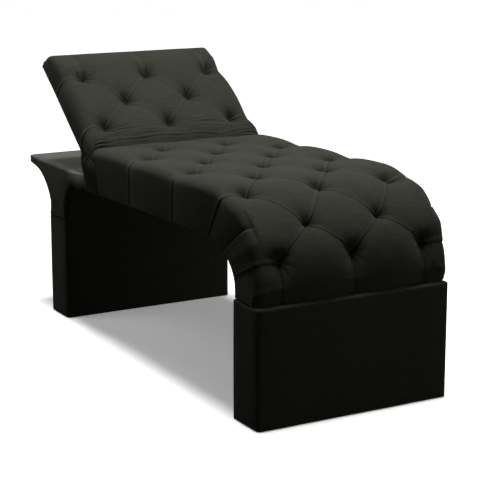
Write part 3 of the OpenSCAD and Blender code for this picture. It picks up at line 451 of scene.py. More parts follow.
# %% Sizes of the bed, in millimetres, counted along the bed from its foot end
BED_L, HALF_W = 1795.0, 350.0
DECK_TOP, ROLL_L, ROLL_Z, PATH_Z = 611.0, 350.0, 445.0, 388.0
SEAT_FOAM, ROLL_FOAM, BACK_FOAM = 104.0, 95.0, 82.0
ROLL_POWER, SEAT_FALL, SKIN_GAP = 2.2, 12.0, 0.3
PIVOT = np.array([1194.0, 607.0])
PIVOT_RISE, REST_ANGLE = 20.0, np.radians(38.4)
DECK_L = PIVOT[0] - 34 - ROLL_L
BACK_FRONT, BACK_END, BACK_HEM_T = 24.5, 566.0, 1.8
PITCH_X, SEAT_PITCH, BACK_PITCH = 130.0, 165.0, 127.0
CELLS = 42


def ramp(value, start, end):
    """0 before start, 1 past end and straight between them; end may be the smaller one."""
    return np.clip((value - start) / (end - start), 0, 1)


def on_back(s, t):
    """Side view point of the backrest: s runs up its rear face, t away from it."""
    s, t = np.asarray(s, float), np.asarray(t, float) - PIVOT_RISE
    along = PIVOT[0] + s * np.cos(REST_ANGLE) - t * np.sin(REST_ANGLE)
    return np.stack([along, PIVOT[1] + s * np.sin(REST_ANGLE) + t * np.cos(REST_ANGLE)], -1)


def seat_at(u, f):
    """Side view point on the seat: a straight foot up to u = 1, a quarter of a superellipse up to
    u = 2, then the flat deck. f is 0 on the deck and 1 on the crown of the foam."""
    u = np.asarray(u, float)
    long, tall = ROLL_L - ROLL_FOAM + f * ROLL_FOAM, DECK_TOP - ROLL_Z + f * SEAT_FOAM
    angle, power = np.clip(u - 1, 0, 1) * np.pi / 2, 2 / ROLL_POWER
    along = np.where(u <= 1, ROLL_L - long, ROLL_L - long * np.abs(np.cos(angle)) ** power)
    height = np.where(u <= 1, PATH_Z + (ROLL_Z - PATH_Z) * u, ROLL_Z + tall * np.sin(angle) ** power)
    flat = np.stack([ROLL_L + DECK_L * (u - 2), DECK_TOP + f * (SEAT_FOAM - SEAT_FALL * (u - 2))], -1)
    return np.where((u > 2)[..., None], flat, np.stack([along, height], -1))


def bed_points(x, side):
    """Points of the whole bed from x across it and side view points (along, height)."""
    return np.stack([np.broadcast_to(x, side.shape[:-1]), side[..., 0] - BED_L / 2, side[..., 1]], -1)


def ripples(x, y, wavelength, seed, waves=7):
    """Smooth uneven surface: the mean of sine waves in set directions and phases, about -1 to 1."""
    draw = np.random.default_rng(seed)
    angles, phases = draw.uniform(0, 2 * np.pi, waves), draw.uniform(0, 2 * np.pi, waves)
    scales = 2 * np.pi / (wavelength * draw.uniform(0.6, 1.6, waves))
    parts = [np.sin(s * (x * np.cos(t) + y * np.sin(t)) + p) for s, t, p in zip(scales, angles, phases)]
    return np.mean(parts, axis=0) * 1.8


print("deck", DECK_L, "mm long, backrest at", round(float(np.degrees(REST_ANGLE)), 1), "degrees")

# %% Stations of the seat
FLAT_ROW0, FLAT_ROWS = 62.0, 5
ROLL_ROW_SHARES = np.array([18, 41, 74]) / 90
FOOT_ROWS, FOOT_U = [-1, -0.95, -0.7, -0.4, -0.2], [0, 0.15, 0.6, 1, 1.1]
row_u = np.concatenate([1 + ROLL_ROW_SHARES, 2 + (FLAT_ROW0 + np.arange(FLAT_ROWS) * SEAT_PITCH) / DECK_L])
last_row = len(row_u) - 1
seat_row = np.arange(-CELLS, last_row * CELLS + 1) / CELLS
seat_u = np.interp(seat_row, [*FOOT_ROWS, *range(last_row + 1)], [*FOOT_U, *row_u])
seat_crown = seat_at(seat_u, 1.0)
seat_base = seat_at(seat_u, 0.0) + [0, SKIN_GAP]
last_row_v = seat_crown[-1, 0]
print("seat:", len(seat_row), "stations,", len(row_u), "rows of tufts")

# %% Stations of the fold, from the last row of tufts into the crease
CREASE_V, CREASE_Z = 1199.0, 692.0
DROP_START, DROP_POWER = 1140.0, 2.3
fold_v = np.linspace(last_row_v, CREASE_V, 34)[1:]
fold_z = seat_at(2 + (fold_v - ROLL_L) / DECK_L, 1.0)[:, 1]
fold_drop = (fold_z[-1] - CREASE_Z) * ramp(fold_v, DROP_START, CREASE_V) ** DROP_POWER
fold_crown = np.stack([fold_v, fold_z - fold_drop], -1)
fold_row = last_row + (fold_v - last_row_v) / SEAT_PITCH
print("fold:", len(fold_row), "stations")

# %% Stations of the backrest, from the crease to its upper end
BACK_ROW0, RISE_START, RISE_DROP, RISE_CALM = 166.0, 60.5, 21.0, 112.0
CROWN_T = BACK_FRONT + BACK_FOAM
EDGE_R, EDGE_DROP = 12.0, 8.0
END_SHORT, END_SHORT_L, END_LOW, END_LOW_L = 15.0, 90.0, 31.0, 130.0
rise_s = np.linspace(RISE_START, BACK_ROW0, 45)
rise_crown = on_back(rise_s, CROWN_T - RISE_DROP * ramp(rise_s, RISE_CALM, 60) ** 2)
rise_row = (rise_s - BACK_ROW0) / BACK_PITCH
back_row = np.arange(1, int((BACK_END - BACK_ROW0) / BACK_PITCH * CELLS) + 1) / CELLS
back_s = BACK_ROW0 + back_row * BACK_PITCH
to_end = BACK_END - back_s
end_round = EDGE_DROP * (1 - np.sqrt(1 - ramp(to_end, EDGE_R, 0) ** 2))
end_low = END_LOW * ramp(to_end, END_LOW_L, 0) ** 1.5
back_crown = on_back(back_s - END_SHORT * ramp(to_end, END_SHORT_L, 0), CROWN_T - end_low - end_round)
print("backrest:", len(rise_row) + len(back_row), "stations")

# %% Base and hem of each station
ARCH_CENTRE, ARCH_RADII = np.array([345.0, 400.0]), np.array([190.0, 147.0])
UNDER_END, UNDER_L = [1366.0, 526.0], 1300.0


def along_line(share, shares, points):
    """Points between given points, at shares along them."""
    points = np.asarray(points, float)
    return np.stack([np.interp(share, shares, points[:, k]) for k in range(2)], -1)


def underside(length):
    """Side view point of the frame's underside at a length along it: up the pedestal's inner side,
    round a quarter of an ellipse, then straight and slightly down to the bracket."""
    angle = np.linspace(0, np.pi / 2, 60)
    arch = ARCH_CENTRE + ARCH_RADII * np.stack([-np.cos(angle), np.sin(angle)], -1)
    line = np.concatenate([[[arch[0, 0], PATH_Z]], arch, [UNDER_END]])
    steps = np.concatenate([[0], np.cumsum(np.linalg.norm(np.diff(line, axis=0), axis=1))])
    return along_line(length, steps, line)


# The hem of these rows lies at these places along the bed
HEM_ROWS = [-1, 0, 1, 2, 4, 6, fold_row[-1]]
HEM_ALONG = [155, 168, 235, 338, 592, 924, 1199]
dense = np.linspace(0, UNDER_L, 4001)
hem_lengths = np.interp(HEM_ALONG, underside(dense)[:, 0] + dense * 1e-6, dense)
seat_hem, fold_hem = (underside(np.interp(rows, HEM_ROWS, hem_lengths)) for rows in (seat_row, fold_row))
fold_share, rise_share = ramp(fold_v, last_row_v, CREASE_V), ramp(rise_s, RISE_START, BACK_ROW0)
deck_z, board_t = DECK_TOP + SKIN_GAP, BACK_FRONT + SKIN_GAP
fold_base = along_line(fold_share, [0, 0.62, 0.8, 1],
                       [[last_row_v, deck_z], [1152, deck_z], [1170, 632], [1188, 637]])
rise_base = along_line(rise_share, [0, 0.25, 1],
                       [[1192, 637], on_back(36, board_t), on_back(BACK_ROW0, board_t)])
rise_hem = along_line(rise_share, [0, 0.28, 0.45, 1], [[1202, 530], [1219, 580],
                      on_back(34, BACK_HEM_T), on_back(BACK_ROW0, BACK_HEM_T)])

crown = np.concatenate([seat_crown, fold_crown, rise_crown, back_crown])
base = np.concatenate([seat_base, fold_base, rise_base, on_back(back_s, board_t)])
hem = np.concatenate([seat_hem, fold_hem, rise_hem, on_back(back_s, BACK_HEM_T)])
row = np.concatenate([seat_row, fold_row, rise_row, back_row])[:, None]
station = np.arange(len(row))
seat_n = len(seat_row) + len(fold_row)
on_seat = station[:, None] < seat_n
pitch = np.where(on_seat, SEAT_PITCH, BACK_PITCH)
print("stations:", len(row))

# %% Columns of the mattress cover
SHOULDER, HEM_R, EDGE_C = 38.0, 5.0, 2.4
top_x = np.arange(0, int(EDGE_C * CELLS) + 1) / CELLS * PITCH_X
turn_angle, hem_angle = np.linspace(0, np.pi / 2, 14)[1:], np.linspace(0, np.pi / 2, 4)[1:]
side_share = np.linspace(0, 1, 41)[1:]
n_top, n_turn = len(top_x), len(turn_angle)
# Four lines over the top, the shoulder, the side and the hem: place across, depth gained round the
# shoulder, share of the side and depth gained round the hem
halves = np.stack([np.concatenate(line) for line in (
    (top_x, HALF_W - SHOULDER + SHOULDER * np.sin(turn_angle), HALF_W + 0 * side_share,
     HALF_W - HEM_R * (1 - np.cos(hem_angle))),
    (0 * top_x, SHOULDER * (1 - np.cos(turn_angle)), SHOULDER + 0 * side_share, SHOULDER + 0 * hem_angle),
    (0 * top_x, 0 * turn_angle, side_share, 1 + 0 * hem_angle),
    (0 * top_x, 0 * turn_angle, 0 * side_share, HEM_R * np.sin(hem_angle)))])
mirrored_halves = halves[:, :0:-1] * [[-1], [1], [1], [1]]
col_x, col_turn, col_side, col_hem = np.concatenate([mirrored_halves, halves], axis=1)
middle = len(col_x) // 2
print("columns:", len(col_x))

# %% The smooth cover, before it is tufted
SIDE_DRAWN_IN, TUCK, FLAT_HALF_W = 5.0, 12.0, 285.0
LEFT_TAPER, RIGHT_TAPER, TAPER_ROWS = 4.0, 28.0, (-0.83, 3.17)
DEEPER_SHARE, END_ROWS = 0.45, (1.6, 3.0)
LEFT_POWER, RIGHT_POWER, END_POWER = 0.9, 0.65, 0.5
up_back = np.where(on_seat, 0, ramp(row, *TAPER_ROWS))
reach = np.linalg.norm(hem - crown, axis=1)[:, None]
inward = (hem - crown) / reach
# The backrest's shoulders are deeper than the seat's
deeper = 1 + DEEPER_SHARE * np.sin(np.pi * np.minimum(up_back * 1.1, 1)) ** 0.5
depth = col_turn * deeper + col_side * (reach - SHOULDER * deeper - HEM_R) + col_hem
# A power below 1 squares the shoulder, most of all at the backrest's upper corners
seat_power = np.where(col_x > 0, RIGHT_POWER, LEFT_POWER)
corner_power = np.where(on_seat, seat_power, 1 - (1 - END_POWER) * ramp(row, *END_ROWS))
squarer = (1 - (1 - col_turn / SHOULDER) ** corner_power) * SHOULDER - col_turn
depth = depth + np.where(col_side > 0, 0, squarer)
turn_share = (np.abs(col_x) - HALF_W + SHOULDER) / SHOULDER
wide_x = HALF_W - SHOULDER + SHOULDER * np.maximum(turn_share, 0) ** corner_power
wide_x = np.where((turn_share > 0) & (col_side == 0), wide_x, np.abs(col_x))
# The backrest tapers towards its upper end, and the seat's sides are drawn in towards their hems
taper = np.where(col_x > 0, RIGHT_TAPER, LEFT_TAPER) * up_back * (1 - col_side)
narrow = 1 - taper / (HALF_W - FLAT_HALF_W)
wide_x = np.where(wide_x > FLAT_HALF_W, FLAT_HALF_W + (wide_x - FLAT_HALF_W) * narrow, wide_x)
wide_x = wide_x - SIDE_DRAWN_IN * col_side ** 2 * (1 - up_back)
side_view = crown[:, None] + inward[:, None] * depth[..., None]
cover_base = bed_points(np.sign(col_x) * wide_x, side_view)
tuck = TUCK * ramp(side_view[:CELLS, :, 1], ROLL_Z, PATH_Z) ** 2
cover_base[:CELLS, :, 1] += tuck * (col_side == 0)

# Columns counted on round the shoulder, so that they keep their true width on the side
step = np.linalg.norm(np.diff(cover_base, axis=1), axis=2)
lengths = np.concatenate([np.zeros((len(row), 1)), np.cumsum(step, axis=1)], axis=1)
column = (lengths - lengths[:, middle:middle + 1]) / PITCH_X
flat_top = np.abs(col_x) <= EDGE_C * PITCH_X + 0.01
column[:, flat_top] = (col_x / PITCH_X)[flat_top]
print("cover grid:", cover_base.shape[:2])

# %% [markdown]
# How deep the cloth is drawn in at each point: a soft pillow between the pleats and a funnel round
# each tuft. Pleats lie where row plus column, or row minus column, is an even whole number. Past the
# outer tufts the pleats run straight to the hem. A sculpted mesh could look the same, but here a
# change of pitch moves every tuft and pleat with it.

# %% The pattern of tufts and pleats
EDGE_COLUMN, SIDE_COLUMN = 2, 2.5


def off_even(value):
    """Distance from the nearest even whole number, from 0 to 1."""
    return 2 * np.abs(value / 2 - np.round(value / 2))


def pleat_distance(c, r, first, last):
    """0 on a pleat and 1 midway between pleats, inside the tufts, beside them and past their ends."""
    inside = np.minimum(off_even(c + r), off_even(c - r))
    past_row = np.maximum(np.maximum(first - r, r - last), 0)
    past_column = np.maximum(np.abs(c) - EDGE_COLUMN, 0)
    end = np.where(r < first, off_even(c + first), off_even(c + last))
    end = np.where(past_column > 0, np.minimum(past_row, past_column), end)
    beside = np.where(past_column > 0, off_even(r + EDGE_COLUMN), inside)
    return np.minimum(np.where(past_row > 0, end, beside), 1.0)


def tuft_offset(c, r, pitch_mm, first, last):
    """Millimetres across and along from the nearest tuft: row and column are rounded on the two
    diagonals, then kept within the tufts that are there."""
    p, q = np.round((c + r) / 2), np.round((c - r) / 2)
    near_c, near_r = p + q, np.clip(p - q, first, last)
    near_c = np.where((near_c + near_r) % 2 == 0, near_c, near_c + np.sign(c - near_c + 1e-9))
    near_c = np.clip(near_c, -EDGE_COLUMN, EDGE_COLUMN)
    near_c = np.where((near_c + near_r) % 2 == 0, near_c, near_c - np.sign(near_c))
    return (c - near_c) * PITCH_X, (r - near_r) * pitch_mm


def upper_side(c, r):
    """1 on the side of the nearest pleat that lies towards the head, where the cloth laps over."""
    p, q = (c + r) / 2 - np.round((c + r) / 2), (c - r) / 2 - np.round((c - r) / 2)
    diagonal = np.where(np.abs(p) < np.abs(q), p, -q)
    straight = (r + EDGE_COLUMN) / 2 - np.round((r + EDGE_COLUMN) / 2)
    return np.where(np.abs(c) > EDGE_COLUMN, straight, diagonal) > 1e-6


# The twines lean: the cloth is drawn in a little nearer the foot end than the washers
TWINE_LEAN = 13.0
row_grid = np.broadcast_to(row + TWINE_LEAN / pitch, column.shape)
away = pleat_distance(column, row_grid, np.where(on_seat, 0, -1), np.where(on_seat, last_row + 1, 2))
# One more pleat runs down the seat's side at the second row of tufts
extra_pleat = np.where(on_seat & (np.abs(column) > SIDE_COLUMN), np.abs(row_grid - 1), 1)
away = np.minimum(away, extra_pleat)
pleat_mm = away * 100
upper = upper_side(column, row_grid)
tuft_x, tuft_y = tuft_offset(column, row_grid, pitch, 0, np.where(on_seat, last_row, 2))
from_tuft = np.hypot(tuft_x, tuft_y)
print("nearest tuft at most", round(float(from_tuft.max())), "mm away")

# %% Depth of the tufting
PILLOW, SIDE_PILLOW, PILLOW_POWER = 8.5, 4.0, 2.2
FUNNEL, FUNNEL_REACH, FUNNEL_POWER = 33.0, 28.0, 1.25
SCALLOP, SCALLOP_W = 4.5, 0.28
END_FADE, CALM_STATIONS, CALM_SHARE = 60.0, 14, 0.75
crease_station = seat_n - 0.5
on_side = ramp(np.abs(column), SIDE_COLUMN, SIDE_COLUMN + 0.5)
at_fold = np.exp(-np.abs(station - crease_station) / CALM_STATIONS)[:, None]
calm = 1 - CALM_SHARE * at_fold
hem_fade = np.clip(1 - col_hem / HEM_R, 0, 1)
free_end = np.where(on_seat, 1, ramp(BACK_END - BACK_ROW0 - row * BACK_PITCH, 0, END_FADE))


def normals_of(points):
    """Unit normals of a grid of points: cross product of the differences along its two parameters."""
    normal = np.cross(np.gradient(points, axis=1), np.gradient(points, axis=0))
    return normal / np.maximum(np.linalg.norm(normal, axis=-1, keepdims=True), 1e-9)


scallop = SCALLOP * np.exp(-((np.abs(column) - SIDE_COLUMN) / SCALLOP_W) ** 2)
pillow = PILLOW + (SIDE_PILLOW - PILLOW) * on_side + scallop
pillow = pillow * (1 - away) ** PILLOW_POWER * free_end
funnel = FUNNEL * np.exp(-(from_tuft / FUNNEL_REACH) ** FUNNEL_POWER) * (1 - on_side)
drawn_in = (pillow * calm + funnel) * hem_fade
base_normals = normals_of(cover_base)
outward_sign = np.sign(base_normals[len(row) // 3, middle, 2])
soft_points = cover_base - outward_sign * base_normals * drawn_in[..., None]
print("deepest tuft:", round(float(drawn_in.max()), 1), "mm")

# %% [markdown]
# Real cloth is a little larger than the foam that it covers, and bunches up round each tuft. A short
# cloth simulation on every third row and column finds these folds: the tufts, hems and ends are
# pinned, the pleats are half held, a light pressure swells the rest. Only the movement is kept, held
# to a cap and spread smoothly to the fine grid, so the tufts stay where they are.

# %% Cloth simulation of the cover
COARSE, SIM_FRAMES, SIM_CAP, SLACK = 3, 20, 5.0, 0.012
CLOTH_SETTINGS = {
    "quality": 6, "mass": 0.25, "tension_stiffness": 12, "compression_stiffness": 12,
    "shear_stiffness": 6, "bending_stiffness": 0.6, "use_pressure": True, "uniform_pressure_force": 1.6,
    "shrink_min": 0.0, "shrink_max": -SLACK, "vertex_group_shrink": "loose",
    "vertex_group_mass": "held", "pin_stiffness": 1.0,
}


def simulate_cover(points, hold, loose):
    """Movement of a grid of points, in millimetres, after a few frames of pressure on loose cloth.
    hold is 1 where a point is pinned and 0 where it is free; loose is 1 where the cloth has slack."""
    sheet = mesh_piece("cover_trial", points.reshape(-1, 3), grid_quads(*hold.shape).tolist())
    for name, weights in (("held", hold.ravel().round(2)), ("loose", loose.ravel().round(1))):
        group = sheet.vertex_groups.new(name=name)
        for weight in np.unique(weights[weights > 0]):
            group.add(np.flatnonzero(weights == weight).tolist(), float(weight), "REPLACE")
    cloth_step = sheet.modifiers.new("cloth", "CLOTH")
    settings = cloth_step.settings
    for key, value in CLOTH_SETTINGS.items():
        setattr(settings, key, value)
    settings.effector_weights.gravity = 0
    cloth_step.collision_settings.use_collision = False
    cloth_step.point_cache.frame_start, cloth_step.point_cache.frame_end = 1, SIM_FRAMES
    scene = bpy.context.scene
    for number in range(1, SIM_FRAMES + 1):
        scene.frame_set(number)
    settled = sheet.evaluated_get(bpy.context.evaluated_depsgraph_get())
    found = np.zeros(points.size, np.float32)
    settled.data.vertices.foreach_get("co", found)
    moved = found.reshape(points.shape) / MM - points
    scene.frame_set(1)
    bpy.data.objects.remove(sheet)
    size = np.linalg.norm(moved, axis=-1, keepdims=True)
    return moved * np.tanh(size / SIM_CAP) * SIM_CAP / np.maximum(size, 1e-6)


# %% From the coarse grid back to the fine one
LOOSE_COLUMNS, TUFT_HELD = (2.75, 2.45), (30, 5)
HOLD_TOP, HOLD_SIDE, HOLD_PLEAT = 0.02, 0.6, 0.4


def spread(coarse_count, fine_count):
    """Weights that carry values from coarse to fine grid lines: cubic curves through the values."""
    at = np.arange(fine_count) / COARSE
    left = np.minimum(at.astype(int), coarse_count - 2)
    t = at - left
    weights = np.stack([-t + 2 * t**2 - t**3, 2 - 5 * t**2 + 3 * t**3,
                        t + 4 * t**2 - 3 * t**3, t**3 - t**2], -1) / 2
    table = np.zeros((fine_count, coarse_count))
    for k in range(4):
        np.add.at(table, (np.arange(fine_count), np.clip(left - 1 + k, 0, coarse_count - 1)), weights[:, k])
    return table


coarse, coarse_pleat, coarse_tuft, coarse_column = (
    grid[::COARSE, ::COARSE] for grid in (soft_points, pleat_mm, from_tuft, column))
loose = ramp(np.abs(coarse_column), *LOOSE_COLUMNS)
hold = np.maximum(HOLD_TOP + HOLD_SIDE * (1 - loose), HOLD_PLEAT * (coarse_pleat < 1))
hold = np.maximum(hold, ramp(coarse_tuft, *TUFT_HELD) ** 2)
hold = np.maximum(hold, (np.abs(station - crease_station) < 2)[::COARSE, None])
hold[:, :2] = hold[:, -2:] = hold[:2] = hold[-2:] = 1
moved = simulate_cover(coarse, hold, loose)
fine_rows, fine_cols = spread(coarse.shape[0], len(row)), spread(coarse.shape[1], len(col_x))
movement = np.einsum("ai,ijk,bj->abk", fine_rows, moved, fine_cols, optimize=True)
print("cloth moved up to", round(float(np.linalg.norm(moved, axis=-1).max()), 1), "mm")

# %% [markdown]
# The pleats come after the simulation, because its grid is too coarse for them. Each is a fold that
# laps towards the foot end: the cloth on its upper side stands a little proud, and the line itself is
# a narrow groove. On the sides the line is a sewn ridge. Creases run out from each tuft, and wrinkles
# run across the bed where the backrest's lowest part folds against the seat.

# %% Pleats and small folds
ON_LINE, FOLD_CALM = 0.5, 0.5
# Drop and width of the cloth above a pleat and below it, and the drop on its line
TOP_LAP, SIDE_LAP = ((-2.2, 11), (0.8, 6), 1.8), ((-1.8, 9), (3.4, 9), -2.6)
STAR_POINTS, STAR_DEPTH, STAR_R, STAR_W = 9, 1.8, 24.0, 17.0
STAR_UNEVEN, STAR_SHARP, STAR_LEVEL = 1.6, 2.6, 0.35
WRINKLE, WRINKLE_L, FINE_WRINKLE, FINE_WRINKLE_L = 1.5, 17.0, 0.9, 10.5
WANDER, BOW = 7, 10
CORNER, CORNER_L, CORNER_REACH = 2.8, 14.0, 30.0


def lap(above, below, line):
    """Drop of the cloth at a pleat: depth times exp(-distance / width) on each side of the line."""
    sides = [drop * np.exp(-pleat_mm / width) for drop, width in (above, below)]
    return np.where(pleat_mm < ON_LINE, line, np.where(upper, *sides))


groove = lap(*TOP_LAP) * free_end
ridge = lap(*SIDE_LAP) * (1 - FOLD_CALM * at_fold)
groove = groove * (1 - on_side) + ridge * on_side

# Creases round each tuft, each tuft with its own phase, sharp in their valleys
bed_x = cover_base[..., 0]
star_turn = np.arctan2(tuft_y, tuft_x)
own = 1.7 * np.round((row_grid * pitch - tuft_y) / pitch) + 2.3 * np.round(bed_x / PITCH_X)
valley = np.cos(STAR_POINTS * star_turn + own + STAR_UNEVEN * np.sin(star_turn + own))
star = (np.exp(-STAR_SHARP * (1 - valley)) - STAR_LEVEL) * np.exp(-((from_tuft - STAR_R) / STAR_W) ** 2)
star = star * (1 - on_side)

# Wrinkles across the bed past the crease, and round the ends of the crease
path_len = np.concatenate([[0], np.cumsum(np.linalg.norm(np.diff(crown, axis=0), axis=1))])[:, None]
past_crease = path_len - path_len[seat_n]
bend = past_crease + WANDER * ripples(bed_x, past_crease, 160, 21) + BOW * (bed_x / HALF_W) ** 2
across = (ramp(past_crease, 0, 14) * ramp(past_crease, 118, 73)
          * (0.55 + 0.45 * ripples(bed_x, past_crease * 2, 120, 22)) * (1 - on_side)
          * ramp(from_tuft, 0, 30))
wrinkles = across * (WRINKLE * np.sin(2 * np.pi * bend / WRINKLE_L)
                     + FINE_WRINKLE * np.sin(2 * np.pi * bend / FINE_WRINKLE_L + 1))
corner = ramp(np.abs(column), 1.9, 2.4) * np.clip(1 - 1.2 * col_side, 0, 1)
corner = corner * np.exp(-(past_crease / CORNER_REACH) ** 2)
fold_waves = wrinkles + CORNER * corner * np.sin(2 * np.pi * (past_crease + 4 * column) / CORNER_L)
fine_drop = (groove * calm + STAR_DEPTH * star + fold_waves) * hem_fade
moved_points = soft_points + movement
cover_points = moved_points - outward_sign * normals_of(moved_points) * fine_drop[..., None]
print("pleats between", round(float(fine_drop.min()), 1), "and", round(float(fine_drop.max()), 1), "mm")

# %% Painted shade of pleats, tufts and folds and painted highlights on crests, for the cloth's colour
# Painted shade beside pleats, round tufts and in creases and wrinkles; painted highlight above pleats
TOP_LINE, SIDE_LINE, SEAT_LINE_W, BACK_LINE_W = 0.5, 0.82, 5.0, 3.0
TUFT_SHADES, SHADE_STRETCH = ((0.85, 20), (0.28, 42)), 1.5
TOP_CREST, SIDE_CREST, CREST_AT, CREST_W = 0.15, 0.65, 2.5, 3.0
STAR_SHADE, WAVE_SHADE = 0.5, 0.2
sewn_line = (pleat_mm < ON_LINE) & (on_side > 0.5)
line_share = np.where(upper | sewn_line, 0.0, TOP_LINE + (SIDE_LINE - TOP_LINE) * on_side)
line_shade = line_share * np.exp(-pleat_mm / np.where(on_seat, SEAT_LINE_W, BACK_LINE_W)) * free_end
# The painted shade of a tuft reaches further on its side towards the head
from_shade = np.hypot(tuft_x, np.where(tuft_y > 0, tuft_y / SHADE_STRETCH, tuft_y))
shade = sum(share * np.exp(-(from_shade / width) ** 2) for share, width in TUFT_SHADES)
tuft_shade = shade * (1 - on_side) + STAR_SHADE * np.clip(star, 0, 1)
painted_shade = np.clip(line_shade * calm + tuft_shade + WAVE_SHADE * np.clip(fold_waves, 0, 2.5), 0, 1)
crest_highlight_share = np.where(upper, TOP_CREST + (SIDE_CREST - TOP_CREST) * on_side, 0) * free_end * calm
painted_crest_highlight = crest_highlight_share * np.exp(-((pleat_mm - CREST_AT) / CREST_W) ** 2)
print("pleat mark up to", round(float(painted_shade.max()), 2))

# %% [markdown]
# The cover becomes one closed skin: the tufted face outside, a plain face against deck and board
# inside, and strips and caps that join the two along the hems and at both ends. Solidify would give
# the face a thickness too, but its inner wall would run into the tufts. Each cell is cut along the
# diagonal that a pleat could follow.

# %% The inner face and the joins of the skin
SEAT_CORE_HALF_W, BACK_CORE_HALF_W, FULL_SHARE_X = 338.0, 318.0, 320.0
INNER_EVERY = 12
rows_n, cols_n = column.shape
outer_n = rows_n * cols_n
core_x = np.interp(station, [len(seat_row) + 20, seat_n + 12], [SEAT_CORE_HALF_W, BACK_CORE_HALF_W])
inner_cols = np.arange(0, cols_n, INNER_EVERY)
inner_cols[-1] = cols_n - 1
inner_n = len(inner_cols)
inner_side = np.abs(inner_cols - middle) > n_top + n_turn // 2
inner_x = np.where(inner_side, np.sign(col_x[inner_cols]), col_x[inner_cols] / FULL_SHARE_X)
down = np.where(inner_side, col_side[inner_cols], 0)[:, None]
inner_view = base[:, None] + (hem - base)[:, None] * down
inner_points = bed_points(inner_x * core_x[:, None], inner_view)

quads = grid_quads(rows_n, cols_n)
cell_column, cell_row = column.ravel()[quads].mean(1), row_grid.ravel()[quads].mean(1)
first_way = (off_even(cell_column + cell_row) < off_even(cell_column - cell_row))[:, None]
outer_faces = np.concatenate([np.where(first_way, quads[:, [0, 1, 3]], quads[:, [0, 1, 2]]),
                              np.where(first_way, quads[:, [1, 2, 3]], quads[:, [0, 2, 3]])])
inner_faces = grid_quads(rows_n, inner_n, start=outer_n)[:, ::-1]


def edge_strip(outer_line, inner_line):
    """Quads between two lines of corner numbers that have the same length."""
    return np.stack([outer_line[:-1], outer_line[1:], inner_line[1:], inner_line[:-1]], -1)


def end_cap(number):
    """Many-cornered faces between the outer and the inner edge of an end station."""
    return [list(range(number * cols_n + inner_cols[k], number * cols_n + inner_cols[k + 1] + 1))
            + [outer_n + number * inner_n + k + 1, outer_n + number * inner_n + k]
            for k in range(inner_n - 1)]


left_strip = edge_strip(station * cols_n, outer_n + station * inner_n)
right_strip = edge_strip((station + 1) * cols_n - 1, outer_n + (station + 1) * inner_n - 1)[:, ::-1]
caps = [face[::-1] for face in end_cap(0)] + end_cap(rows_n - 1)
print("inner face:", rows_n, "by", inner_n, "points")

# %% The mattress cover as one closed skin
# The cloth turns down over the end of the backrest's board: a thin closed flap as wide as the cover
flap_side = on_back(BACK_END + np.array([0.3, 1.0, 1.7, 1.7, 1.1, 0.3]), [29.5, 28.2, 25.0, 4.0, 1.5, 0.6])
flap_x = np.linspace(-346, 346, 30)
flap_points = bed_points(flap_x[:, None], np.broadcast_to(flap_side, (len(flap_x), *flap_side.shape)))
flap_start, flap_n = outer_n + rows_n * inner_n, len(flap_side)
flap_end = flap_start + flap_n * len(flap_x)
flap_caps = [list(range(flap_start, flap_start + flap_n)), list(range(flap_end - flap_n, flap_end))[::-1]]
flap_faces = grid_quads(len(flap_x), flap_n, ring=True, start=flap_start)[:, ::-1]

skin = np.concatenate([points.reshape(-1, 3) for points in (cover_points, inner_points, flap_points)])
skin_faces = [face for faces in (outer_faces, inner_faces, left_strip, right_strip, flap_faces)
              for face in faces.tolist()]
mattress = mesh_piece("mattress_cover", skin, skin_faces + caps + flap_caps)
# Painted shade and painted highlight as numbers per point of the tufted face
for name, mark in (("pleat", painted_shade), ("crest", painted_crest_highlight)):
    set_attribute(mattress, name, np.pad(mark.ravel(), (0, len(skin) - outer_n)))
mattress.data.materials.append(tufted_cloth)
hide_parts("seat_pad", "fold_pad", "back_pad")
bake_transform(mattress)
print("mattress cover:", len(mattress.data.polygons), "faces")

# %% [markdown]
# Each pedestal wears a sleeve of the same dark cloth over thin foam. Its upright corners are round,
# its upper edge is soft, and the cloth is turned under at the bottom. A box with a Bevel would be
# quicker, but a profile carried round the box can swell over the foam and has a real inner side.

# %% Sizes and rings of the pedestal covers
PEDESTAL_D, PEDESTAL_H, CORNER_R, TOP_R = 160.0, 384.0, 12.0, 7.0
HEM_Z, TURNED_UNDER, COVER_T, HEAD_V = 1.5, 19.0, 2.0, 1453.0
FACE_SWELL, FACE_RIPPLE = 2.2, 0.9


def rounded_ring(half_x, half_y, radius, per_corner=8, per_side=24, per_end=8):
    """Points round a rectangle with round corners, counter-clockwise seen from above: each corner's
    arc, then a straight stretch to the next corner's."""
    radius = min(radius, half_x, half_y)
    arcs = []
    for start, (way_x, way_y) in zip((0, 90, 180, 270), ((1, 1), (-1, 1), (-1, -1), (1, -1))):
        angle = np.radians(np.linspace(start, start + 90, per_corner + 1))
        centre = (way_x * (half_x - radius), way_y * (half_y - radius))
        arcs.append(centre + radius * np.stack([np.cos(angle), np.sin(angle)], -1))
    points = []
    for k, arc in enumerate(arcs):
        share = np.linspace(0, 1, (per_end if k % 2 else per_side) + 1)[1:-1, None]
        points += [arc, arc[-1] + (arcs[(k + 1) % 4][0] - arc[-1]) * share]
    return np.concatenate(points)


# %% A pedestal's cover as one shell


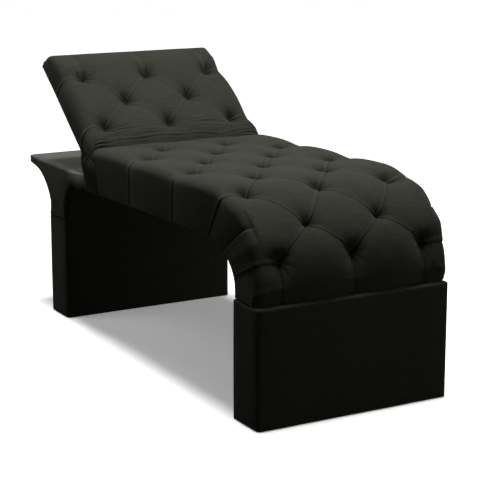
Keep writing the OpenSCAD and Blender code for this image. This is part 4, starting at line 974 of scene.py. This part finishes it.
def pedestal_cover(name, along, replaced, seed):
    """Sleeve of cloth as one shell. Its profile runs from the hem's inner edge out and up the sides,
    over the round top edge to the middle, and back inside at the cloth's thickness. The faces swell a
    little over the foam: a sine of the height plus ripples."""
    half_d, corner_z, in_r = PEDESTAL_D / 2, PEDESTAL_H - TOP_R, TOP_R - COVER_T
    edge = np.linspace(0, np.pi / 2, 6)
    wall = np.linspace(20, corner_z - 6, 40)
    out_z = np.concatenate([[HEM_Z, HEM_Z, HEM_Z, HEM_Z + 1, HEM_Z + 3], wall,
                            corner_z + TOP_R * np.sin(edge), np.full(7, PEDESTAL_H)])
    out_inset = np.concatenate([[TURNED_UNDER, 4, 1.5, 0.4, 0], 0 * wall, TOP_R * (1 - np.cos(edge)),
                                TOP_R + np.linspace(4, half_d - TOP_R - 1, 7)])
    in_z = np.concatenate([np.full(7, PEDESTAL_H - COVER_T), (corner_z + in_r * np.sin(edge))[::-1],
                           wall[::-1], [HEM_Z + 4, HEM_Z + COVER_T, HEM_Z + COVER_T]])
    in_inset = np.concatenate([out_inset[:-8:-1], (TOP_R - in_r * np.cos(edge))[::-1],
                               COVER_T + 0 * wall, [COVER_T, COVER_T + 1, TURNED_UNDER]])
    heights, inset = np.concatenate([out_z, in_z]), np.concatenate([out_inset, in_inset])
    rings = [rounded_ring(HALF_W - i, half_d - i, max(CORNER_R - i, 0.8)) for i in inset]
    points = np.stack([np.column_stack([r, np.full(len(r), z)]) for r, z in zip(rings, heights)])

    face = points[len(wall) // 2]
    face_x, face_y = np.abs(face[:, 0]), np.abs(face[:, 1])
    end_face = face_x > HALF_W - 6
    across = np.where(end_face, ramp(face_y, half_d, half_d - 30), ramp(face_x, HALF_W, HALF_W - 60))
    wall_inset = np.where(np.arange(len(inset)) < len(out_z), 0, COVER_T)
    upright = ramp(np.abs(inset - wall_inset), 3, 0)[:, None]
    swell = np.sin(np.pi * np.clip(points[..., 2] / PEDESTAL_H, 0, 1)) ** 0.6
    ripple = 1 + ripples(face[:, 0] + face[:, 1], points[..., 2], 210, seed)
    push = upright * across * (FACE_SWELL * swell + FACE_RIPPLE * ripple)
    points[..., 0] += np.where(end_face, np.sign(face[:, 0]) * push, 0)
    points[..., 1] += np.where(end_face, 0, np.sign(face[:, 1]) * push) + along + half_d - BED_L / 2

    count, around = points.shape[:2]
    top = len(out_z)
    number = np.arange(count * around).reshape(count, around)
    first, last = number[0], number[-1]
    hem_strip = np.stack([last, np.roll(last, -1), np.roll(first, -1), first], -1)
    strips = np.concatenate([grid_quads(top, around, ring=True), hem_strip,
                             grid_quads(count - top, around, ring=True, start=top * around)])
    caps = [number[top - 1].tolist(), number[top][::-1].tolist()]
    piece = mesh_piece(name, points.reshape(-1, 3), strips.tolist() + caps)
    piece.data.materials.append(cover_cloth)
    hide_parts(replaced)
    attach(piece, "base")
    print(name, len(piece.data.polygons), "faces")


pedestal_cover("foot_box_cover", 0.0, "foot_cover", 3)
pedestal_cover("head_box_cover", HEAD_V, "head_cover", 8)

# %% [markdown]
# The flared bracket carries the shelf. Its cover is a band of cloth that follows the two curves and
# the shelf, with a side panel sewn to it along each edge. Cutting the flare out of a block would give
# hard edges, and upholstery has none: every line of the side view is carried across the bed, and a
# quarter of an ellipse takes it inwards near the edge.

# %% Side view of the bracket and shelf
FLARE_Z, SHELF_TOP, FRONT_V = 391.0, 586.0, 1262.0
SIDE_X, SOFT_X, EDGE_X, EDGE_IN, BAND_T, SHEET_T = 338.0, 326.0, 352.0, 22.0, 5.6, 1.8
HEAD_ARC_V, HEAD_ARC_RADII = 1864.0, (260.0, 170.0)
FOOT_ARC_V, FOOT_ARC_RADII = UNDER_END[0], (90.0, 135.0)
TIP_R = 6.0


def arc_points(centre, radii, start, end, count):
    """Points on an ellipse between two angles in degrees."""
    angle = np.radians(np.linspace(start, end, count))
    return np.asarray(centre) + np.stack([np.cos(angle), np.sin(angle)], -1) * radii


tip_angle = np.degrees(np.arccos((HEAD_ARC_V - BED_L) / HEAD_ARC_RADII[0]))
head_curve = arc_points((HEAD_ARC_V, FLARE_Z), HEAD_ARC_RADII, 180, 180 - tip_angle, 30)
foot_curve = arc_points((FOOT_ARC_V, FLARE_Z), FOOT_ARC_RADII, 90, 0, 20)
tip_corner = arc_points((BED_L - TIP_R, SHELF_TOP - TIP_R), (TIP_R, TIP_R), 0, 90, 6)
under_line = np.stack([np.linspace(FRONT_V, FOOT_ARC_V, 12), np.linspace(527, 525.5, 12)], -1)[:-1]
top_line = np.stack([np.linspace(BED_L - 20, FRONT_V, 40), np.full(40, SHELF_TOP)], -1)
foot_line = np.concatenate([under_line, foot_curve, [[foot_curve[-1, 0], PEDESTAL_H]]])
head_line = np.concatenate([[[head_curve[0, 0], PEDESTAL_H]], head_curve, [[BED_L, 568.0]],
                            tip_corner, top_line])
foot_thick = np.full(len(foot_line), BAND_T)
head_thick = np.where(head_line[:, 1] > SHELF_TOP - 1, SHEET_T, BAND_T)
print("bracket lines:", len(foot_line), len(head_line), "points")

# %% Bands and side panels of the bracket
TIP_FADE, EDGE_FADE, FRONT_FADE_V = 90.0, 60.0, 1330.0
FRONT_SLOPE, FRONT_SLOPE_V = 6.0, (1320.0, 1270.0)


def soft_edge(line):
    """How far the round edge reaches in at each point: less at tip, bottom and front and on top."""
    along, height = line.T
    near_tip = np.clip((BED_L - along) / TIP_FADE, 0.3, 1)
    near_bottom = np.clip((height - PEDESTAL_H) / EDGE_FADE + 0.2, 0.2, 1)
    near_front = np.clip((along - FRONT_FADE_V) / EDGE_FADE, 0.25, 1)
    return EDGE_IN * near_tip * near_bottom * near_front * np.where(height > SHELF_TOP - 1, 0.6, 1)


def inset_line(line, amount):
    """A side view line moved to its left by an amount, each point along its mean normal."""
    way = np.gradient(line, axis=0)
    way /= np.linalg.norm(way, axis=1, keepdims=True)
    return line + np.stack([-way[:, 1], way[:, 0]], -1) * amount[..., None]


def rounded(line, x):
    """The line at x across the bed: a quarter of an ellipse from SOFT_X to EDGE_X takes it inwards."""
    share = ramp(abs(x), SOFT_X, EDGE_X)
    return inset_line(line, soft_edge(line) * (1 - np.sqrt(1 - share ** 2)))


def loft(rings, xs):
    """Closed solid through equal closed rings in side view, one at each x, with flat ends."""
    points = bed_points(xs[:, None], np.stack(rings))
    count, around = points.shape[:2]
    ends = [list(range(around))[::-1], list(range((count - 1) * around, count * around))]
    return points.reshape(-1, 3), grid_quads(count, around, ring=True).tolist() + ends


def band(line, thick):
    """Foam and cloth along a line between the side panels, from its outer face inwards."""
    xs = np.concatenate([[-SIDE_X, -SOFT_X - 6], np.linspace(-SOFT_X, SOFT_X, 44), [SOFT_X + 6, SIDE_X]])
    inner = inset_line(line, thick)[::-1]
    return loft([np.concatenate([rounded(line, x), inner]) for x in xs], xs)


def bracket_side(side):
    """Padded panel over the rib, from its flat back to a face that swells past the bed's width."""
    share = np.sin(np.linspace(np.arcsin((SIDE_X - SOFT_X) / (EDGE_X - SOFT_X)), np.pi / 2, 12))
    xs = (SOFT_X + (EDGE_X - SOFT_X) * share)[::side]
    rings = [np.concatenate([rounded(foot_line, x), rounded(head_line, x)]) for x in xs]
    points, faces = loft(rings, side * xs)
    slope = FRONT_SLOPE * ramp(points[:, 1] + BED_L / 2, *FRONT_SLOPE_V)
    points[:, 0] -= side * slope * (np.abs(points[:, 0]) - SIDE_X) / (EDGE_X - SIDE_X)
    return points, faces


# %% The bracket's cover as one piece
parts = [band(foot_line, foot_thick), band(head_line, head_thick), bracket_side(-1), bracket_side(1)]
bracket_points, bracket_faces = np.concatenate([points for points, _ in parts]), []
for (_, faces), start in zip(parts, np.cumsum([0] + [len(points) for points, _ in parts])):
    bracket_faces += [[int(k + start) for k in face] for face in faces]
bracket = mesh_piece("bracket_cover", bracket_points, bracket_faces)
for polygon in bracket.data.polygons:
    if len(polygon.vertices) > 4:
        polygon.use_smooth = abs(polygon.center.x) > (EDGE_X - 8) * MM
# Painted light on the top of the shelf and of the flare's upper part, with a soft lower limit
PAINTED_LIGHT_Z, PAINTED_LIGHT_LOWER, PAINTED_LIGHT_FADE = 566.0, 34.0, 26.0
painted_light_from = PAINTED_LIGHT_Z - PAINTED_LIGHT_LOWER * ramp(bracket_points[:, 1] + BED_L / 2, 1440, 1310)
set_attribute(bracket, "painted_top_light", ramp(bracket_points[:, 2] - painted_light_from, 0, PAINTED_LIGHT_FADE) ** 1.5)
bracket.data.materials.append(cover_cloth)
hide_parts("flare_cover", "shelf_cover", "side_wraps")
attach(bracket, "base")
print("bracket cover:", len(bracket.data.polygons), "faces")

# %% [markdown]
# Where the backrest folds, the mattress's side cloth is left long and hangs in bunched folds from the
# crease to the underside, so that it can open when the backrest is let down. It is a panel with
# several folds, rounded on their crests and sharp in their valleys, with its own thickness. A second
# cloth simulation could drop the folds, but a formula keeps each of them in its place.

# %% Gathered side cloths at the fold
GATHER_T, FOLD_MM, FAN_Z = 1.8, 25.0, 704.0
FOLD_RISE, UPPER_CURL, NEAR_CURL, FREE_CURL, LOW_CURL = 7.5, 17.0, 7.0, 10.0, 6.0
GATHER_GAP, GATHER_SWELL, LOW_DRAWN_IN = 3.0, 4.0, 4


def side_panel(name, side):
    """Closed shell over a grid: shares p along the bed and q upwards between two side lines. Folds
    stand out as |sin| of p, fanned out below FAN_Z and warped a little; the edges curl inwards."""
    count_p, count_q = 120, 64
    p, q = np.meshgrid(np.linspace(0, 1, count_p), np.linspace(0, 1, count_q), indexing="ij")
    near = along_line(q, [0, 0.45, 1], [[1160, 526], [1166, 600], [1176, 670]])
    far = along_line(q, [0, 0.35, 0.7, 1], [[1264, 526], [1278, 588], [1294, 642], [1318, 692]])
    view = near + (far - near) * p[..., None]
    below, back_of = np.maximum(FAN_Z - view[..., 1], 12), view[..., 0] - near[..., 0]
    fan = back_of / (1.15 - np.exp(-below / 34)) + 5 * ripples(back_of, below * 0.4, 60, 11)
    fold = np.abs(np.sin(np.pi * (fan / FOLD_MM + 0.35)))
    height = (2 + FOLD_RISE * np.clip(q * 1.8, 0, 1)) * np.clip(p * 6, 0, 1) * np.clip(5 - 5 * p, 0, 1)
    curl = (FREE_CURL * ramp(p, 0.93, 1) ** 2 + LOW_CURL * ramp(q, 0.05, 0) ** 2
            + UPPER_CURL * ramp(q, 0.66, 1) ** 1.5 + NEAR_CURL * ramp(p, 0.16, 0) ** 2)
    swell = GATHER_SWELL * np.sin(np.pi * q ** 0.8) * np.sin(np.pi * p ** 0.7)
    out_x = HALF_W + GATHER_GAP + swell - LOW_DRAWN_IN * (1 - q) ** 2 + height * (fold - 0.35) - curl
    outer, inner = bed_points(side * out_x, view), bed_points(side * (out_x - GATHER_T), view)

    size = count_p * count_q
    quads, number = grid_quads(count_p, count_q), np.arange(size).reshape(count_p, count_q)
    rim = np.concatenate([number[:, 0], number[-1, 1:], number[-2::-1, -1], number[0, -2::-1]])
    rim_strip = np.stack([rim[:-1], rim[1:], rim[1:] + size, rim[:-1] + size], -1)
    faces = np.concatenate([quads, quads[:, ::-1] + size, rim_strip])[:, ::-side]
    piece = mesh_piece(name, np.concatenate([outer.reshape(-1, 3), inner.reshape(-1, 3)]), faces.tolist())
    piece.data.materials.append(tufted_cloth)
    # Painted shade in the valleys of the folds, carried by the pleat attribute
    mark = 0.65 * np.exp(-fold / 0.22) * np.clip(height / 6, 0, 1)
    set_attribute(piece, "pleat", np.tile(mark.ravel(), 2))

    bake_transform(piece)


side_panel("fold_cloth_left", -1)
side_panel("fold_cloth_right", 1)
